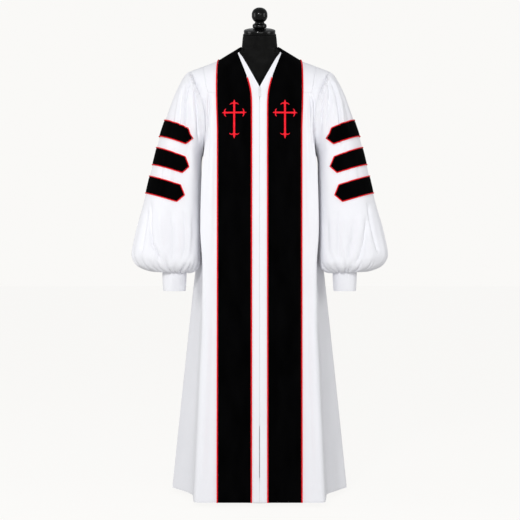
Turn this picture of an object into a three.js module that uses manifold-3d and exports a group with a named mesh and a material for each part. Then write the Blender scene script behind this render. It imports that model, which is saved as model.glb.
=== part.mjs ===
// Clergy robe on a limbless dress form, in millimetres, +Z up.
// The front faces -Y, +X is right as seen from the front, and the origin is on the floor under the pole.
// The garment is worked out for the +X side and mirrored.
import * as THREE from "three";
import { mergeVertices } from "three/addons/utils/BufferGeometryUtils.js";
import Module from "manifold-3d";

// Rows of a table as objects with named columns
function named(columns, rows) {
  return rows.map((row) => Object.fromEntries(columns.map((key, i) => [key, row[i]])));
}

// Driving sizes
const CLOTH = 1.5; // thickness of one wall of cloth
const SEAM_GAP = 0.3; // space between two pieces at a seam
const EDGE = SEAM_GAP / 2; // how far each piece stops short of its seam line
const HEM_HEIGHT = 14; // hem above the floor
const VELVET = 1.4; // thickness of the velvet
const PIPING_RADIUS = 1.8; // red cord, 3.6 mm across
const PIPING_ROOM = PIPING_RADIUS + SEAM_GAP; // from a cord's middle to the cloth beside it
const OVERLAY_LIFT = 0.4; // underside of what lies on a panel, above that panel
const SHOULDER_Y = 5; // depth of the shoulder line
const SHOULDER_ROUND = 75; // height over which the shoulder turns over into front and back
const PANEL_X = 126; // outer edge of the velvet at the shoulder line
const NECK_X = 57.5; // half width of the neck hole
const BACK_NECK_DEPTH = 52; // how far the neck hole reaches behind the shoulder line
const NECK_ROUND = 3; // exponent of the neck hole's curve behind, squarer than a circle
const SLEEVE_SEGMENTS = 40; // round the sleeve, two for each row of the armhole
const CUFF_X = 258.5; // middle of the cuff
const CUFF_Y = -75;
const CUFF_THICKNESS = 2;
// The cuff's rings from the top down, as height and outer radius
const CUFF_RINGS = named(["z", "r"], [
  [690, 37],
  [660, 36],
  [628, 34],
]);
const CUFF_SEGMENTS = 24;
const BASE_RADIUS = 160;
const BASE_THICKNESS = 8;
const POLE_RADIUS = 15;

// Height of the shoulder line (z) at distances from the middle (x)
const SHOULDER_LINE = [
  [0, 1384],
  [40, 1384],
  [NECK_X, 1381],
  [PANEL_X, 1340],
  [166, 1325],
  [215, 1307],
];

// Depth of the front (y) and of the back (y) at the middle, by height (z)
const FRONT_DEPTH = [
  [HEM_HEIGHT, -226],
  [110, -218],
  [240, -207.5],
  [390, -195],
  [540, -181.5],
  [690, -167.5],
  [820, -155.5],
  [950, -143],
  [1060, -131.5],
  [1110, -127],
  [1180, -118],
  [1229, -108.5],
  [1262, -100],
  [1300, -88],
  [1340, -74],
  [1384, -64],
];
const BACK_DEPTH = [
  [1060, 116],
  [1110, 112],
  [1229, 104],
  [1300, 96],
  [1340, 92],
  [1384, 88],
];

// How far the chest falls back at the edge of the velvet, by height (z)
const CHEST_BOW = [
  [HEM_HEIGHT, 0],
  [690, 3],
  [1060, 8],
  [1229, 12],
  [1384, 12],
];

const BACK_BOW = 6; // how far the back comes forward at the same x

// Rows of the front from the shoulder line down to the underarm.
// level: height at the velvet's outer edge, follow: share of the shoulder's slope that the row keeps,
// neck: x of the V edge, inner and outer: x of the velvet's edges, fold: x of the slanting yoke seam,
// armX, armFrontY, armBackY, armZ: the armhole seam.
const UPPER_ROWS_COLUMNS = [
  "level", "follow", "neck", "inner", "outer",
  "fold", "armX", "armFrontY", "armBackY", "armZ",
];
const UPPER_ROWS = named(UPPER_ROWS_COLUMNS, [
  [1340, 1, 57.5, 57.5, 126, 175, 213, 5, 5, 1307.5],
  [1334.5, 1, 60.5, 60.5, 127.3, 174, 211.5, -15, 25, 1302.5],
  [1320.5, 1, 62, 66, 129, 171.5, 207, -33, 43, 1290],
  [1299, 0.9, 50, 59.5, 129.7, 167.5, 199, -51, 58, 1270],
  [1255, 0.4, 15.2, 37, 130, 162, 190, -67, 73, 1247],
  [1240, 0.1, 0, 29.5, 130, 159, 182, -80, 84, 1226],
  [1229, 0, 0, 26.5, 129.8, 157, 176, -88, 91, 1209],
  [1195, 0, 0, 24.3, 129, 156.5, 170, -97, 98, 1180],
  [1155, 0, 0, 24, 127.5, 156, 168, -96, 98, 1138],
  [1110, 0, 0, 24, 126.3, 156, 170, -58, 60, 1084],
  [1060, 0, 0, 24, 126, 156, 175, 0, 0, 1060],
]);
const YOKE_SEAM_ROW = 6;
const BAND_TOP_ROW = 2; // the neckline band runs out here
const PIPING_TOP_ROW = 4; // the inner cord starts here
const LAST_UPPER = UPPER_ROWS.length - 1;
// How far the small fold beside the yoke stands out, for each row of UPPER_ROWS
const FOLD_RELIEF = [0, 0, 0, 0, 0, 0, 1, 5, 7, 8, 8];
const FOLD_PROFILE = [-0.35, 0.5, 1, 0.3, 0]; // share of that relief across the fold, towards the side
// The front at the underarm, turned like the rows of the skirt
const UNDERARM_ROW = {
  z: 1060,
  outer: 126,
  crest: 155,
  nose: 161,
  valleyX: 164,
  valleyY: -84,
  sideX: 175,
  sideY: 0,
};

// Rows of the skirt below the underarm.
// outer: x of the velvet's outer edge, crest: x where the front starts to turn, nose: x of the front flute,
// valleyX, valleyY: the valley behind it, sideX, sideY: the side seam, backY: the middle of the back,
// flute: depth of the back's flutes.
const LOWER_ROWS_COLUMNS = [
  "z", "outer", "crest", "nose", "valleyX",
  "valleyY", "sideX", "sideY", "backY", "flute",
];
const LOWER_ROWS = named(LOWER_ROWS_COLUMNS, [
  [950, 125.6, 155, 161, 163, -90, 176, 6, 126, 8],
  [820, 125.2, 156, 163, 164.5, -95, 184, 11, 140, 10],
  [690, 124.8, 158, 166.5, 169, -98, 200, 14, 154, 12],
  [540, 124.5, 161, 171, 178, -100, 216.5, 15, 173, 15],
  [390, 124.2, 166, 177, 186, -101, 232.5, 16, 192, 18],
  [240, 124, 172, 183, 193, -102, 248.5, 17, 210, 20],
  [110, 123.8, 177, 188.5, 199, -103, 262, 18, 226, 22],
  [HEM_HEIGHT, 123.5, 181, 193, 203, -104, 272, 18, 238, 24],
]);
const PLACKET_EDGE_X = 24; // middle of the inner cord below the chest
const NOSE_DEPTH = 14; // how far the flute's nose lies behind the front plane
const BACK_COLUMNS = 12; // columns in half of the back
const BACK_FLUTES = 3; // flutes in half of the back
const BACK_FLUTE_START = [0, 2, 4, 5.5, 6.5]; // their depth in the rows from the yoke seam to the underarm
const BACK_ROUND = { x: 0.8, y: 0.6 }; // exponents of the back's plan, below 1 for fuller corners

// Columns of the back yoke out to the armhole, at the shoulder line
const YOKE_COLUMNS = [0, 42, NECK_X, 80, 103, PANEL_X, 140, 151, 162, 174, 187, 200, 213];
// x of the band's outer edge and of the column above the neck hole's side, in yoke rows 0 to 5
const BACK_BAND_EDGE = [126, 125, 119, 96, 110, 118];
const BACK_BAND_INNER = [57.5, 56, 50, 38, 48, 56];
const BACK_BAND_ROW = 3; // the velvet's lower edge on the back
const NECK_DROP_SHARE = [1, 0.85, 0.6, 0.35, 0.15, 0.05, 0]; // how far each row follows the neck hole

// Rings of the sleeve after the armhole: outer and inner end of each ring seen from the front,
// its middle's y, its half depth, its bulge towards the body, and the depth of its gathers.
const SLEEVE_RINGS_COLUMNS = ["ox", "oz", "ix", "iz", "y", "half", "bulge", "gather"];
const SLEEVE_RINGS = named(SLEEVE_RINGS_COLUMNS, [
  [228, 1297, 179, 1049, 0, 99, 20, 2.5],
  [246, 1268, 181, 1035, -4, 101, 12, 3],
  [263, 1230, 181, 1015, -10, 102, 6, 1],
  [277, 1187, 180, 988, -17, 101, 2, 0],
  [291, 1143, 180, 955, -25, 98, 0, 0],
  [306, 1094, 180, 918, -33, 94, 0, 0],
  [330, 992, 180, 850, -46, 88, 0, 0],
  [352, 892, 180, 787, -60, 82, 0, 0],
  [376, 798, 180, 741, -70, 78, 0, 0.8],
  [386, 739, 181, 714, -75, 77, 0, 2],
  [376, 713, 186, 698, -75, 72, 0, 3],
  [352, 696, 199, 688, -75, 60, 0, 3],
  [318, 688, 213, 684, -75, 46, 0, 2],
  [295.9, 689.5, 221.1, 688, -75, 37.4, 0, 0],
]);
const MID_GATHER = Math.PI / 2; // phase half way up a gather
const EVEN_RING = 3; // from this ring on the ring's points stand at even angles
const SOFT_FOLDS = 5; // long soft folds round the sleeve
const SOFT_FOLD_DEPTH = 2.5;
const SOFT_FOLD_SPAN = { from: 2, to: 12, fade: 3 }; // rings over which they rise and die away

// Bars on the sleeve seen from the front: upper and lower edge at the sleeve's outline, and at the inner end
const BARS_COLUMNS = [
  "topX", "topZ", "bottomX", "bottomZ", "inTopX",
  "inTopZ", "tipX", "inBottomX", "inBottomZ",
];
const BARS = named(BARS_COLUMNS, [
  [283, 1148, 298, 1098, 217, 1119, 202, 223, 1071],
  [304, 1062, 319, 1011, 224, 1032, 212, 232, 984],
  [325, 975, 338, 923, 237, 947, 225, 248, 897],
]);
const CORD_SIDES = 6;
const BAR_CORD_SIDES = 4;
const BAR_STEPS = 20; // along a bar, from the front tip round to the back tip
const BAR_LIFTS = [2.2, 1.2, 1.2]; // the upper bar clears the gathers' ends
const BAR_END_ROOM = PIPING_ROOM + 1.2; // room for the cord at a bar's pointed ends

// Cross on the velvet
const CROSS = { x: 76, topZ: 1204, height: 118, width: 74, armBelowTop: 39.5, barHalf: 3.8, armHalf: 3.5 };
const CROSS_SPREAD = { top: 13, side: 12.5, bottom: 15 }; // half width of each arm's end
const CROSS_STEP = 18; // longest straight piece of an arm
const CROSS_THICKNESS = 1.2;
const CROSS_LIFT = 2 * OVERLAY_LIFT + VELVET + 0.2; // its underside above the white front
// Outline of an arm's end: distance from the tip, how far the edge lies behind the middle, half width
const FLEURY = [
  { back: 26, sweep: 0, share: 0 },
  { back: 19, sweep: 0, share: 0.12 },
  { back: 15, sweep: 1, share: 0.42 },
  { back: 12.5, sweep: 3.5, share: 1 },
  { back: 10, sweep: 0, share: 0.62 },
  { back: 6.5, sweep: 0, share: 0.2 },
  { back: 0, sweep: 0, share: -1 },
];

// Torso of the form: height, half width below the shoulders, depth in front and behind
const TORSO = [
  { z: 1384, half: 55, front: 55, back: 54 },
  { z: 1374, half: 54.5, front: 55, back: 50 },
  { z: 1366, half: 80, front: 56, back: 50 },
  { z: 1359, half: 92, front: 59, back: 54 },
  { z: 1352, half: 110, front: 62, back: 64 },
  { z: 1337, half: 130, front: 67, back: 70 },
  { z: 1320, half: 166, front: 74, back: 76 },
  { z: 1295, half: 168, front: 82, back: 83 },
  { z: 1262, half: 166, front: 92, back: 88 },
  { z: 1220, half: 158, front: 102, back: 92 },
  { z: 1160, half: 150, front: 108, back: 94 },
  { z: 1080, half: 143, front: 104, back: 92 },
  { z: 980, half: 132, front: 94, back: 86 },
  { z: 860, half: 140, front: 102, back: 96 },
  { z: 760, half: 146, front: 106, back: 102 },
  { z: 680, half: 142, front: 102, back: 98 },
  { z: 655, half: 128, front: 90, back: 86 },
];
const TORSO_SEGMENTS = 28;
const TORSO_CLEARANCE = CLOTH + 0.6;
const TORSO_NECK_X = NECK_X - 9; // inside this the form is free of the cloth
const TORSO_HEADROOM = 2.8; // height from the top of the form's shoulder to the cloth's outside
const NECK_BASE_Z = 1374; // below this the form widens into its shoulders
const CAP_Z = 1422; // middle of the cap's underside
const CAP_TILT = THREE.MathUtils.degToRad(17); // the cap leans forward
// Top rings of the form's neck, cut more and more to the slant of the cap
const NECK_RINGS = named(["z", "r", "slant"], [
  [1394, 54, 0.3],
  [1406, 53, 0.65],
  [CAP_Z - 0.5, 51, 1],
]);
// The cap and the turned finial on it, as [radius, height above the cap's underside]
const CAP_PROFILE = [[0, 0], [48, 0], [49, 1.5], [49, 10.5], [47.5, 12.5], [40, 15], [28, 16.6], [0, 17]];
const FINIAL_PROFILE = [
  [0, 17.3], [16, 17.3], [20.5, 19.5], [22, 24], [21.5, 28.5], [18, 32], [14.5, 34.5], [14.5, 37],
  [18.5, 41], [22.5, 47], [24.5, 54.5], [24.2, 62.5], [21.5, 70.5], [16, 76.8], [8.5, 80.6], [0, 81.6],
];
// Zip slider and pull tab, in the slider's own frame: y towards the viewer is negative
const SLIDER = {
  z: 1236,
  width: 9,
  length: 13,
  thick: 2.6,
  bridgeWidth: 2.6,
  bridgeTop: -6.4,
  bridgeHalf: 4.2,
  tunnelHalf: 3,
  bar: 1.2,
};
const PULL = {
  y: -3.9,
  z: -1.6,
  barHalf: 0.7,
  eyeHalf: 1.8,
  eyeEnd: 4.4,
  legWidth: 1.5,
  length: 23,
  half: 3.6,
};

const SEARCH_STEPS = 40; // halvings of a span when a crossing is looked for

// Small helpers
const lerp = (a, b, t) => a + (b - a) * t;
const clamp01 = (t) => Math.min(1, Math.max(0, t));
const smooth = (t) => clamp01(t) ** 2 * (3 - 2 * clamp01(t));
const vec = (x, y, z) => new THREE.Vector3(x, y, z);

// Value at x in a table of [x, value] rows
function table(rows, x) {
  if (x <= rows[0][0]) return rows[0][1];
  for (let i = 1; i < rows.length; i += 1) {
    const [x0, v0] = rows[i - 1];
    const [x1, v1] = rows[i];
    if (x <= x1) return lerp(v0, v1, (x - x0) / (x1 - x0));
  }
  return rows[rows.length - 1][1];
}

const shoulderZ = (x) => table(SHOULDER_LINE, Math.abs(x));

// Share of the full depth that the shoulder has reached at a drop below the shoulder line
function shoulderTurn(drop) {
  const t = clamp01(drop / SHOULDER_ROUND);
  return Math.sqrt(2 * t - t * t);
}
// The same share under the flat faces between the rows of cloth, where the form has to fit
const underFaces = (drop) => table([[0, 0], [5.5, 0.36], [19.5, 0.65], [43, 0.87], [110, 1]], drop);

// Depth of the front and back surfaces of the cloth
const frontFlat = (x, z) => table(FRONT_DEPTH, z) + table(CHEST_BOW, z) * (x / PANEL_X) ** 2;
const backFlat = (x, z) => table(BACK_DEPTH, z) - BACK_BOW * (x / PANEL_X) ** 2;
const frontY = (x, z) => lerp(SHOULDER_Y, frontFlat(x, z), shoulderTurn(shoulderZ(x) - z));
const backY = (x, z) => lerp(SHOULDER_Y, backFlat(x, z), shoulderTurn(shoulderZ(x) - z));

// Height of an upper row at x
const rowZ = (row, x) => row.level + row.follow * (shoulderZ(x) - shoulderZ(PANEL_X));

const armFront = (r) => vec(UPPER_ROWS[r].armX, UPPER_ROWS[r].armFrontY, UPPER_ROWS[r].armZ);
const armBack = (r) => vec(UPPER_ROWS[r].armX, UPPER_ROWS[r].armBackY, UPPER_ROWS[r].armZ);

// Net of the front: rows from the shoulder to the hem, columns from the middle to the side
const FRONT_COLUMNS = { middle: 0, inner: 1, outer: 4, fold: 6, side: 11 };

function upperFrontRow(r) {
  const row = UPPER_ROWS[r];
  const { neck, inner, outer, fold: seam } = row;
  const third = (outer - inner) / 3;
  const xs = [neck, inner, inner + third, outer - third, outer, (outer + seam) / 2, seam];
  const points = xs.map((x) => vec(x, frontY(x, rowZ(row, x)), rowZ(row, x)));
  const start = points[FRONT_COLUMNS.fold];
  const end = armFront(r);
  const miss = end.y - frontY(end.x, end.z);
  const steps = FOLD_PROFILE.length;
  for (let k = 1; k <= steps; k += 1) {
    const w = k / steps;
    const x = lerp(start.x, end.x, w);
    const z = lerp(start.z, end.z, w);
    const fold = FOLD_PROFILE[k - 1] * FOLD_RELIEF[r];
    points.push(vec(x, frontY(x, z) + miss * w * w + fold, z));
  }
  return points;
}

function lowerFrontRow(row) {
  const { z, outer, crest, nose, valleyX, valleyY, sideX, sideY } = row;
  const noseY = table(FRONT_DEPTH, z) + NOSE_DEPTH;
  const third = (outer - PLACKET_EDGE_X) / 3;
  const xs = [0, PLACKET_EDGE_X, PLACKET_EDGE_X + third, outer - third, outer, (outer + crest) / 2, crest];
  const points = xs.map((x) => vec(x, frontY(x, z), z));
  points.push(vec(nose, noseY, z));
  points.push(vec(lerp(nose, valleyX, 0.45), lerp(noseY, valleyY, 0.45), z));
  points.push(vec(valleyX, valleyY, z));
  points.push(vec(lerp(valleyX, sideX, 0.45), lerp(valleyY, sideY, 0.5), z));
  points.push(vec(sideX, sideY, z));
  return points;
}

const frontPoints = UPPER_ROWS.map((row, r) => upperFrontRow(r)).concat(LOWER_ROWS.map(lowerFrontRow));
const underarm = frontPoints[LAST_UPPER];
const turned = lowerFrontRow(UNDERARM_ROW);
for (let c = FRONT_COLUMNS.fold; c <= FRONT_COLUMNS.side; c += 1) underarm[c].copy(turned[c]);

// Net of the back: rows from the yoke seam to the hem, columns from the middle to the side
function backRow(x1, y1, z1, yMiddle, zMiddle, flute) {
  const points = [];
  for (let j = 0; j <= BACK_COLUMNS; j += 1) {
    const w = j / BACK_COLUMNS;
    const a = (w * Math.PI) / 2;
    const x = x1 * Math.sin(a) ** BACK_ROUND.x;
    const y = y1 + (yMiddle - y1) * Math.max(0, Math.cos(a)) ** BACK_ROUND.y;
    const wave = flute * Math.cos(2 * Math.PI * BACK_FLUTES * w) * (1 - w ** 3);
    const out = vec(Math.sin(a) * (yMiddle / x1), Math.cos(a), 0).normalize();
    points.push(vec(x + wave * out.x, y + wave * out.y, lerp(zMiddle, z1, w ** 3)));
  }
  return points;
}
const backPoints = [];
for (let r = YOKE_SEAM_ROW; r <= LAST_UPPER; r += 1) {
  const arm = armBack(r);
  const { level } = UPPER_ROWS[r];
  const flute = BACK_FLUTE_START[r - YOKE_SEAM_ROW];
  backPoints.push(backRow(arm.x, arm.y, arm.z, table(BACK_DEPTH, level), level, flute));
}
for (const { z, sideX, sideY, backY: middleY, flute } of LOWER_ROWS) {
  backPoints.push(backRow(sideX, sideY, z, middleY, z, flute));
}

// Net of the back yoke: its last row is the back's first row
const neckY = (x) => SHOULDER_Y + BACK_NECK_DEPTH * Math.sqrt(Math.max(0, 1 - (x / NECK_X) ** NECK_ROUND));
function neckDrop(x) {
  if (x >= NECK_X) return 0;
  const part = (neckY(x) - SHOULDER_Y) / (table(BACK_DEPTH, shoulderZ(x)) - SHOULDER_Y);
  return SHOULDER_ROUND * (1 - Math.sqrt(1 - part * part));
}
function yokeColumnX(r, j) {
  const edge = BACK_BAND_EDGE[r];
  const inner = BACK_BAND_INNER[r];
  if (j <= 2) return (inner * YOKE_COLUMNS[j]) / NECK_X;
  if (j <= 5) return lerp(inner, edge, (j - 2) / 3);
  const part = (YOKE_COLUMNS[j] - PANEL_X) / (YOKE_COLUMNS[BACK_COLUMNS] - PANEL_X);
  return lerp(edge, UPPER_ROWS[r].armX, part);
}
const yokePoints = [];
for (let r = 0; r < YOKE_SEAM_ROW; r += 1) {
  const arm = armBack(r);
  const miss = arm.y - backY(arm.x, arm.z);
  const missZ = arm.z - rowZ(UPPER_ROWS[r], arm.x);
  const points = [];
  for (let j = 0; j <= BACK_COLUMNS; j += 1) {
    const x = r === 0 ? YOKE_COLUMNS[j] : yokeColumnX(r, j);
    const w = clamp01((x - PANEL_X) / (arm.x - PANEL_X)) ** 2;
    const z = rowZ(UPPER_ROWS[r], x) - neckDrop(x) * NECK_DROP_SHARE[r] + missZ * w;
    points.push(vec(x, backY(x, z) + miss * w, z));
  }
  yokePoints.push(points);
}
yokePoints.push(backPoints[0].map((p) => p.clone()));

// Normals of a net from its neighbours, pointing away from the inside of the garment
function withNormals(points, side, closed = false) {
  const rows = points.length;
  const columns = points[0].length;
  return points.map((line, r) =>
    line.map((p, c) => {
      const up = points[Math.max(0, r - 1)][c];
      const down = points[Math.min(rows - 1, r + 1)][c];
      const back = closed ? line[(c + columns - 1) % columns] : line[Math.max(0, c - 1)];
      const ahead = closed ? line[(c + 1) % columns] : line[Math.min(columns - 1, c + 1)];
      const n = down.clone().sub(up).cross(ahead.clone().sub(back)).multiplyScalar(side);
      return { p, n: n.normalize() };
    }),
  );
}

// Two edges that meet at a seam share one normal, so their walls end face to face
function share(a, b) {
  const n = a.n.clone().add(b.n).normalize();
  a.n.copy(n);
  b.n.copy(n);
}

const front = withNormals(frontPoints, 1);
const back = withNormals(backPoints, -1);
const yoke = withNormals(yokePoints, -1);
for (const line of front) {
  if (line[0].p.x === 0) line[0].n.setX(0).normalize();
}
front[0].forEach((v) => v.n.setY(0).normalize());
// Where the V edge and the velvet's edge run together, the normals follow the column beside them
for (let r = 0; r <= BAND_TOP_ROW; r += 1) {
  front[r][1].n.copy(front[r][2].n);
  front[r][0].n.copy(front[r][1].n);
}
yoke[0].forEach((v, j) => {
  if (j >= 2) v.n.setY(0).normalize();
});
for (const line of yoke.concat(back)) line[0].n.setX(0).normalize();
yoke[YOKE_SEAM_ROW].forEach((v, j) => share(v, back[0][j]));
front.slice(LAST_UPPER).forEach((line, i) => {
  share(line[FRONT_COLUMNS.side], back[LAST_UPPER - YOKE_SEAM_ROW + i][BACK_COLUMNS]);
});
share(front[0][FRONT_COLUMNS.side], yoke[0][BACK_COLUMNS]);

// A closed wall over the cells of a net. lift: height of its outer face over the net, thick: its thickness,
// has(r, c): whether the cell below row r and right of column c is part of it,
// inset: how far it stops short of its edges, as a number or a function of the row, column and direction.
function wall(net, { lift = 0, thick = CLOTH, has = () => true, inset = EDGE, closed = false } = {}) {
  const rows = net.length - 1;
  const columns = closed ? net[0].length : net[0].length - 1;
  const width = net[0].length;
  const wrap = (c) => (closed ? (c + width) % width : c);
  const cell = (r, c) => {
    const inside = r >= 0 && r < rows && (closed || (c >= 0 && c < columns));
    return inside && has(r, wrap(c));
  };
  const positions = [];
  const index = new Map();
  const insetAt = typeof inset === "function" ? inset : () => inset;
  function vertex(r, c) {
    const key = r * width + wrap(c);
    if (index.has(key)) return index.get(key);
    const { p, n } = net[r][wrap(c)];
    const at = p.clone();
    const ul = cell(r - 1, c - 1);
    const ur = cell(r - 1, c);
    const dl = cell(r, c - 1);
    const dr = cell(r, c);
    const pull = (toward, distance) => {
      const step = toward.p.clone().sub(p);
      if (step.length() > 1e-6) at.addScaledVector(step.normalize(), distance);
    };
    const right = (ur ? 1 : 0) + (dr ? 1 : 0) - (ul ? 1 : 0) - (dl ? 1 : 0);
    const below = (dl ? 1 : 0) + (dr ? 1 : 0) - (ul ? 1 : 0) - (ur ? 1 : 0);
    if (right > 0) pull(net[r][wrap(c + 1)], insetAt(r, c, "left"));
    if (right < 0) pull(net[r][wrap(c - 1)], insetAt(r, c, "right"));
    if (below > 0) pull(net[r + 1][wrap(c)], insetAt(r, c, "top"));
    if (below < 0) pull(net[r - 1][wrap(c)], insetAt(r, c, "bottom"));
    const outer = at.clone().addScaledVector(n, lift);
    const inner = at.clone().addScaledVector(n, lift - thick);
    positions.push(outer.x, outer.y, outer.z, inner.x, inner.y, inner.z);
    const id = positions.length / 3 - 2;
    index.set(key, id);
    return id;
  }
  const triangles = [];
  const quad = (a, b, c, d) => triangles.push(a, b, c, a, c, d);
  // A warped cell is split along its shorter diagonal, so walls laid on each other stay parallel
  function face(r, c, a, b, d, e) {
    const down = net[r][wrap(c)].p.distanceTo(net[r + 1][wrap(c + 1)].p);
    const up = net[r][wrap(c + 1)].p.distanceTo(net[r + 1][wrap(c)].p);
    if (down <= up) {
      quad(a, d, e, b);
      quad(e + 1, d + 1, a + 1, b + 1);
    } else {
      quad(b, a, d, e);
      quad(b + 1, e + 1, d + 1, a + 1);
    }
  }
  for (let r = 0; r < rows; r += 1) {
    for (let c = 0; c < columns; c += 1) {
      if (!cell(r, c)) continue;
      const a = vertex(r, c);
      const b = vertex(r, c + 1);
      const d = vertex(r + 1, c);
      const e = vertex(r + 1, c + 1);
      face(r, c, a, b, d, e);
      if (!cell(r - 1, c)) quad(a, b, b + 1, a + 1);
      if (!cell(r + 1, c)) quad(d, d + 1, e + 1, e);
      if (!cell(r, c - 1)) quad(a, a + 1, d + 1, d);
      if (!cell(r, c + 1)) quad(b, e, e + 1, b + 1);
    }
  }
  return solid(positions, triangles);
}

// Signed volume of a triangle mesh
function volume(positions, triangles) {
  const at = (i) => vec(positions[3 * i], positions[3 * i + 1], positions[3 * i + 2]);
  let sum = 0;
  for (let i = 0; i < triangles.length; i += 3) {
    sum += at(triangles[i]).dot(at(triangles[i + 1]).cross(at(triangles[i + 2])));
  }
  return sum;
}

// Geometry whose faces point outwards
function solid(positions, triangles) {
  const order = triangles.slice();
  if (volume(positions, triangles) < 0) {
    for (let i = 0; i < order.length; i += 3) [order[i + 1], order[i + 2]] = [order[i + 2], order[i + 1]];
  }
  const geometry = new THREE.BufferGeometry();
  geometry.setAttribute("position", new THREE.Float32BufferAttribute(positions, 3));
  geometry.setIndex(order);
  geometry.computeVertexNormals();
  return geometry;
}

// The same geometry on the -X side
function mirrored(geometry) {
  const positions = Array.from(geometry.attributes.position.array);
  for (let i = 0; i < positions.length; i += 3) positions[i] *= -1;
  return solid(positions, Array.from(geometry.index.array));
}

// A round cord of a radius along points with normals, raised so that it rests on the surface
function cord(line, radius, { closed = false, sides = CORD_SIDES, lift = OVERLAY_LIFT } = {}) {
  const positions = [];
  const triangles = [];
  const count = line.length;
  line.forEach(({ p, n }, k) => {
    const before = line[closed ? (k + count - 1) % count : Math.max(0, k - 1)].p;
    const after = line[closed ? (k + 1) % count : Math.min(count - 1, k + 1)].p;
    const along = after.clone().sub(before).normalize();
    const across = along.clone().cross(n).normalize();
    const up = across.clone().cross(along).normalize();
    const middle = p.clone().addScaledVector(n, lift + radius);
    for (let s = 0; s < sides; s += 1) {
      const a = ((s + 0.5) / sides) * 2 * Math.PI;
      const at = middle.clone().addScaledVector(across, radius * Math.cos(a));
      at.addScaledVector(up, radius * Math.sin(a));
      positions.push(at.x, at.y, at.z);
    }
  });
  const spans = closed ? count : count - 1;
  for (let k = 0; k < spans; k += 1) {
    for (let s = 0; s < sides; s += 1) {
      const a = k * sides + s;
      const b = k * sides + ((s + 1) % sides);
      const c = ((k + 1) % count) * sides + s;
      const d = ((k + 1) % count) * sides + ((s + 1) % sides);
      triangles.push(a, b, d, a, d, c);
    }
  }
  if (!closed) {
    for (let s = 1; s < sides - 1; s += 1) {
      triangles.push(0, s + 1, s);
      const e = (count - 1) * sides;
      triangles.push(e, e + s, e + s + 1);
    }
  }
  return solid(positions, triangles);
}

// Sleeve surface: ring parameters at any place v along it, 1 being the first ring of the table
function ringAt(v) {
  const i = Math.min(SLEEVE_RINGS.length - 1, Math.max(1, Math.floor(v)));
  const a = SLEEVE_RINGS[i - 1];
  const b = SLEEVE_RINGS[i];
  const ring = {};
  for (const key of Object.keys(a)) ring[key] = lerp(a[key], b[key], v - i);
  return ring;
}

// A point of the sleeve at an angle from its outer line, towards the front, and its gathers' phase
function sleevePoint(angle, v, phase = 0) {
  const ring = ringAt(v);
  const dx = (ring.ox - ring.ix) / 2;
  const dz = (ring.oz - ring.iz) / 2;
  const half = Math.hypot(dx, dz);
  const { from, to, fade } = SOFT_FOLD_SPAN;
  const depth = SOFT_FOLD_DEPTH * smooth((v - from) / fade) * smooth((to - v) / fade);
  const fold = depth * Math.cos(SOFT_FOLDS * angle + 0.6);
  const swell = 1 + (fold + ring.gather * Math.cos(phase)) / ring.half;
  const u = Math.cos(angle) * swell;
  const s = Math.sin(angle);
  const inward = ring.bulge * Math.abs(s);
  const x = (ring.ox + ring.ix) / 2 + dx * u - (inward * dz) / half;
  const z = (ring.oz + ring.iz) / 2 + dz * u + (inward * dx) / half;
  return vec(x, ring.y - ring.half * s * swell, z);
}

// Armhole loop: two points for each of its rows, down the front and up the back
const armholeLoop = [];
const frontArm = (r) => front[r][FRONT_COLUMNS.side];
const backArm = (r) => (r < YOKE_SEAM_ROW ? yoke[r][BACK_COLUMNS] : back[r - YOKE_SEAM_ROW][BACK_COLUMNS]);
function pushSpan(a, b) {
  armholeLoop.push({ p: a.p.clone(), n: a.n.clone() });
  armholeLoop.push({ p: a.p.clone().lerp(b.p, 0.5), n: a.n.clone().add(b.n).normalize() });
}
for (let r = 0; r < LAST_UPPER; r += 1) pushSpan(frontArm(r), frontArm(r + 1));
for (let r = LAST_UPPER; r > 0; r -= 1) pushSpan(backArm(r), backArm(r - 1));

// Angle on the next rings that matches a point of the armhole
const topArm = armholeLoop[0].p;
const lowArm = armholeLoop[SLEEVE_SEGMENTS / 2].p;
const armAxis = topArm.clone().sub(lowArm);
function armAngle(i) {
  const part = topArm.clone().sub(armholeLoop[i].p).dot(armAxis) / armAxis.lengthSq();
  const angle = Math.acos(1 - 2 * clamp01(part));
  return i <= SLEEVE_SEGMENTS / 2 ? angle : 2 * Math.PI - angle;
}
const sleevePoints = [armholeLoop.map(({ p }) => p)];
for (let v = 1; v <= SLEEVE_RINGS.length; v += 1) {
  const line = [];
  for (let i = 0; i < SLEEVE_SEGMENTS; i += 1) {
    const even = (2 * Math.PI * i) / SLEEVE_SEGMENTS;
    const angle = lerp(armAngle(i), even, smooth(v / EVEN_RING));
    line.push(sleevePoint(angle, v, Math.PI * i));
  }
  sleevePoints.push(line);
}
const sleeve = withNormals(sleevePoints, -1, true);
// The sleeve's wall starts parallel to the wall of the body, just outside its edge
sleeve[0].forEach((v, i) => {
  const next = armholeLoop[(i + 1) % SLEEVE_SEGMENTS].p;
  const before = armholeLoop[(i + SLEEVE_SEGMENTS - 1) % SLEEVE_SEGMENTS].p;
  const away = next.clone().sub(before).cross(armholeLoop[i].n).normalize();
  if (away.dot(sleeve[1][i].p.clone().sub(v.p)) < 0) away.negate();
  v.n.copy(armholeLoop[i].n);
  v.p = v.p.clone().addScaledVector(away, EDGE);
});

// A point of the sleeve with its normal
function sleeveSurface(angle, v) {
  const step = 0.02;
  const p = sleevePoint(angle, v, MID_GATHER);
  const across = sleevePoint(angle + step, v, MID_GATHER).sub(sleevePoint(angle - step, v, MID_GATHER));
  const along = sleevePoint(angle, v + step, MID_GATHER).sub(sleevePoint(angle, v - step, MID_GATHER));
  const n = along.cross(across).normalize();
  const middle = vec((ringAt(v).ox + ringAt(v).ix) / 2, ringAt(v).y, p.z);
  if (n.dot(p.clone().sub(middle)) < 0) n.negate();
  return { p, n };
}

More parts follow.
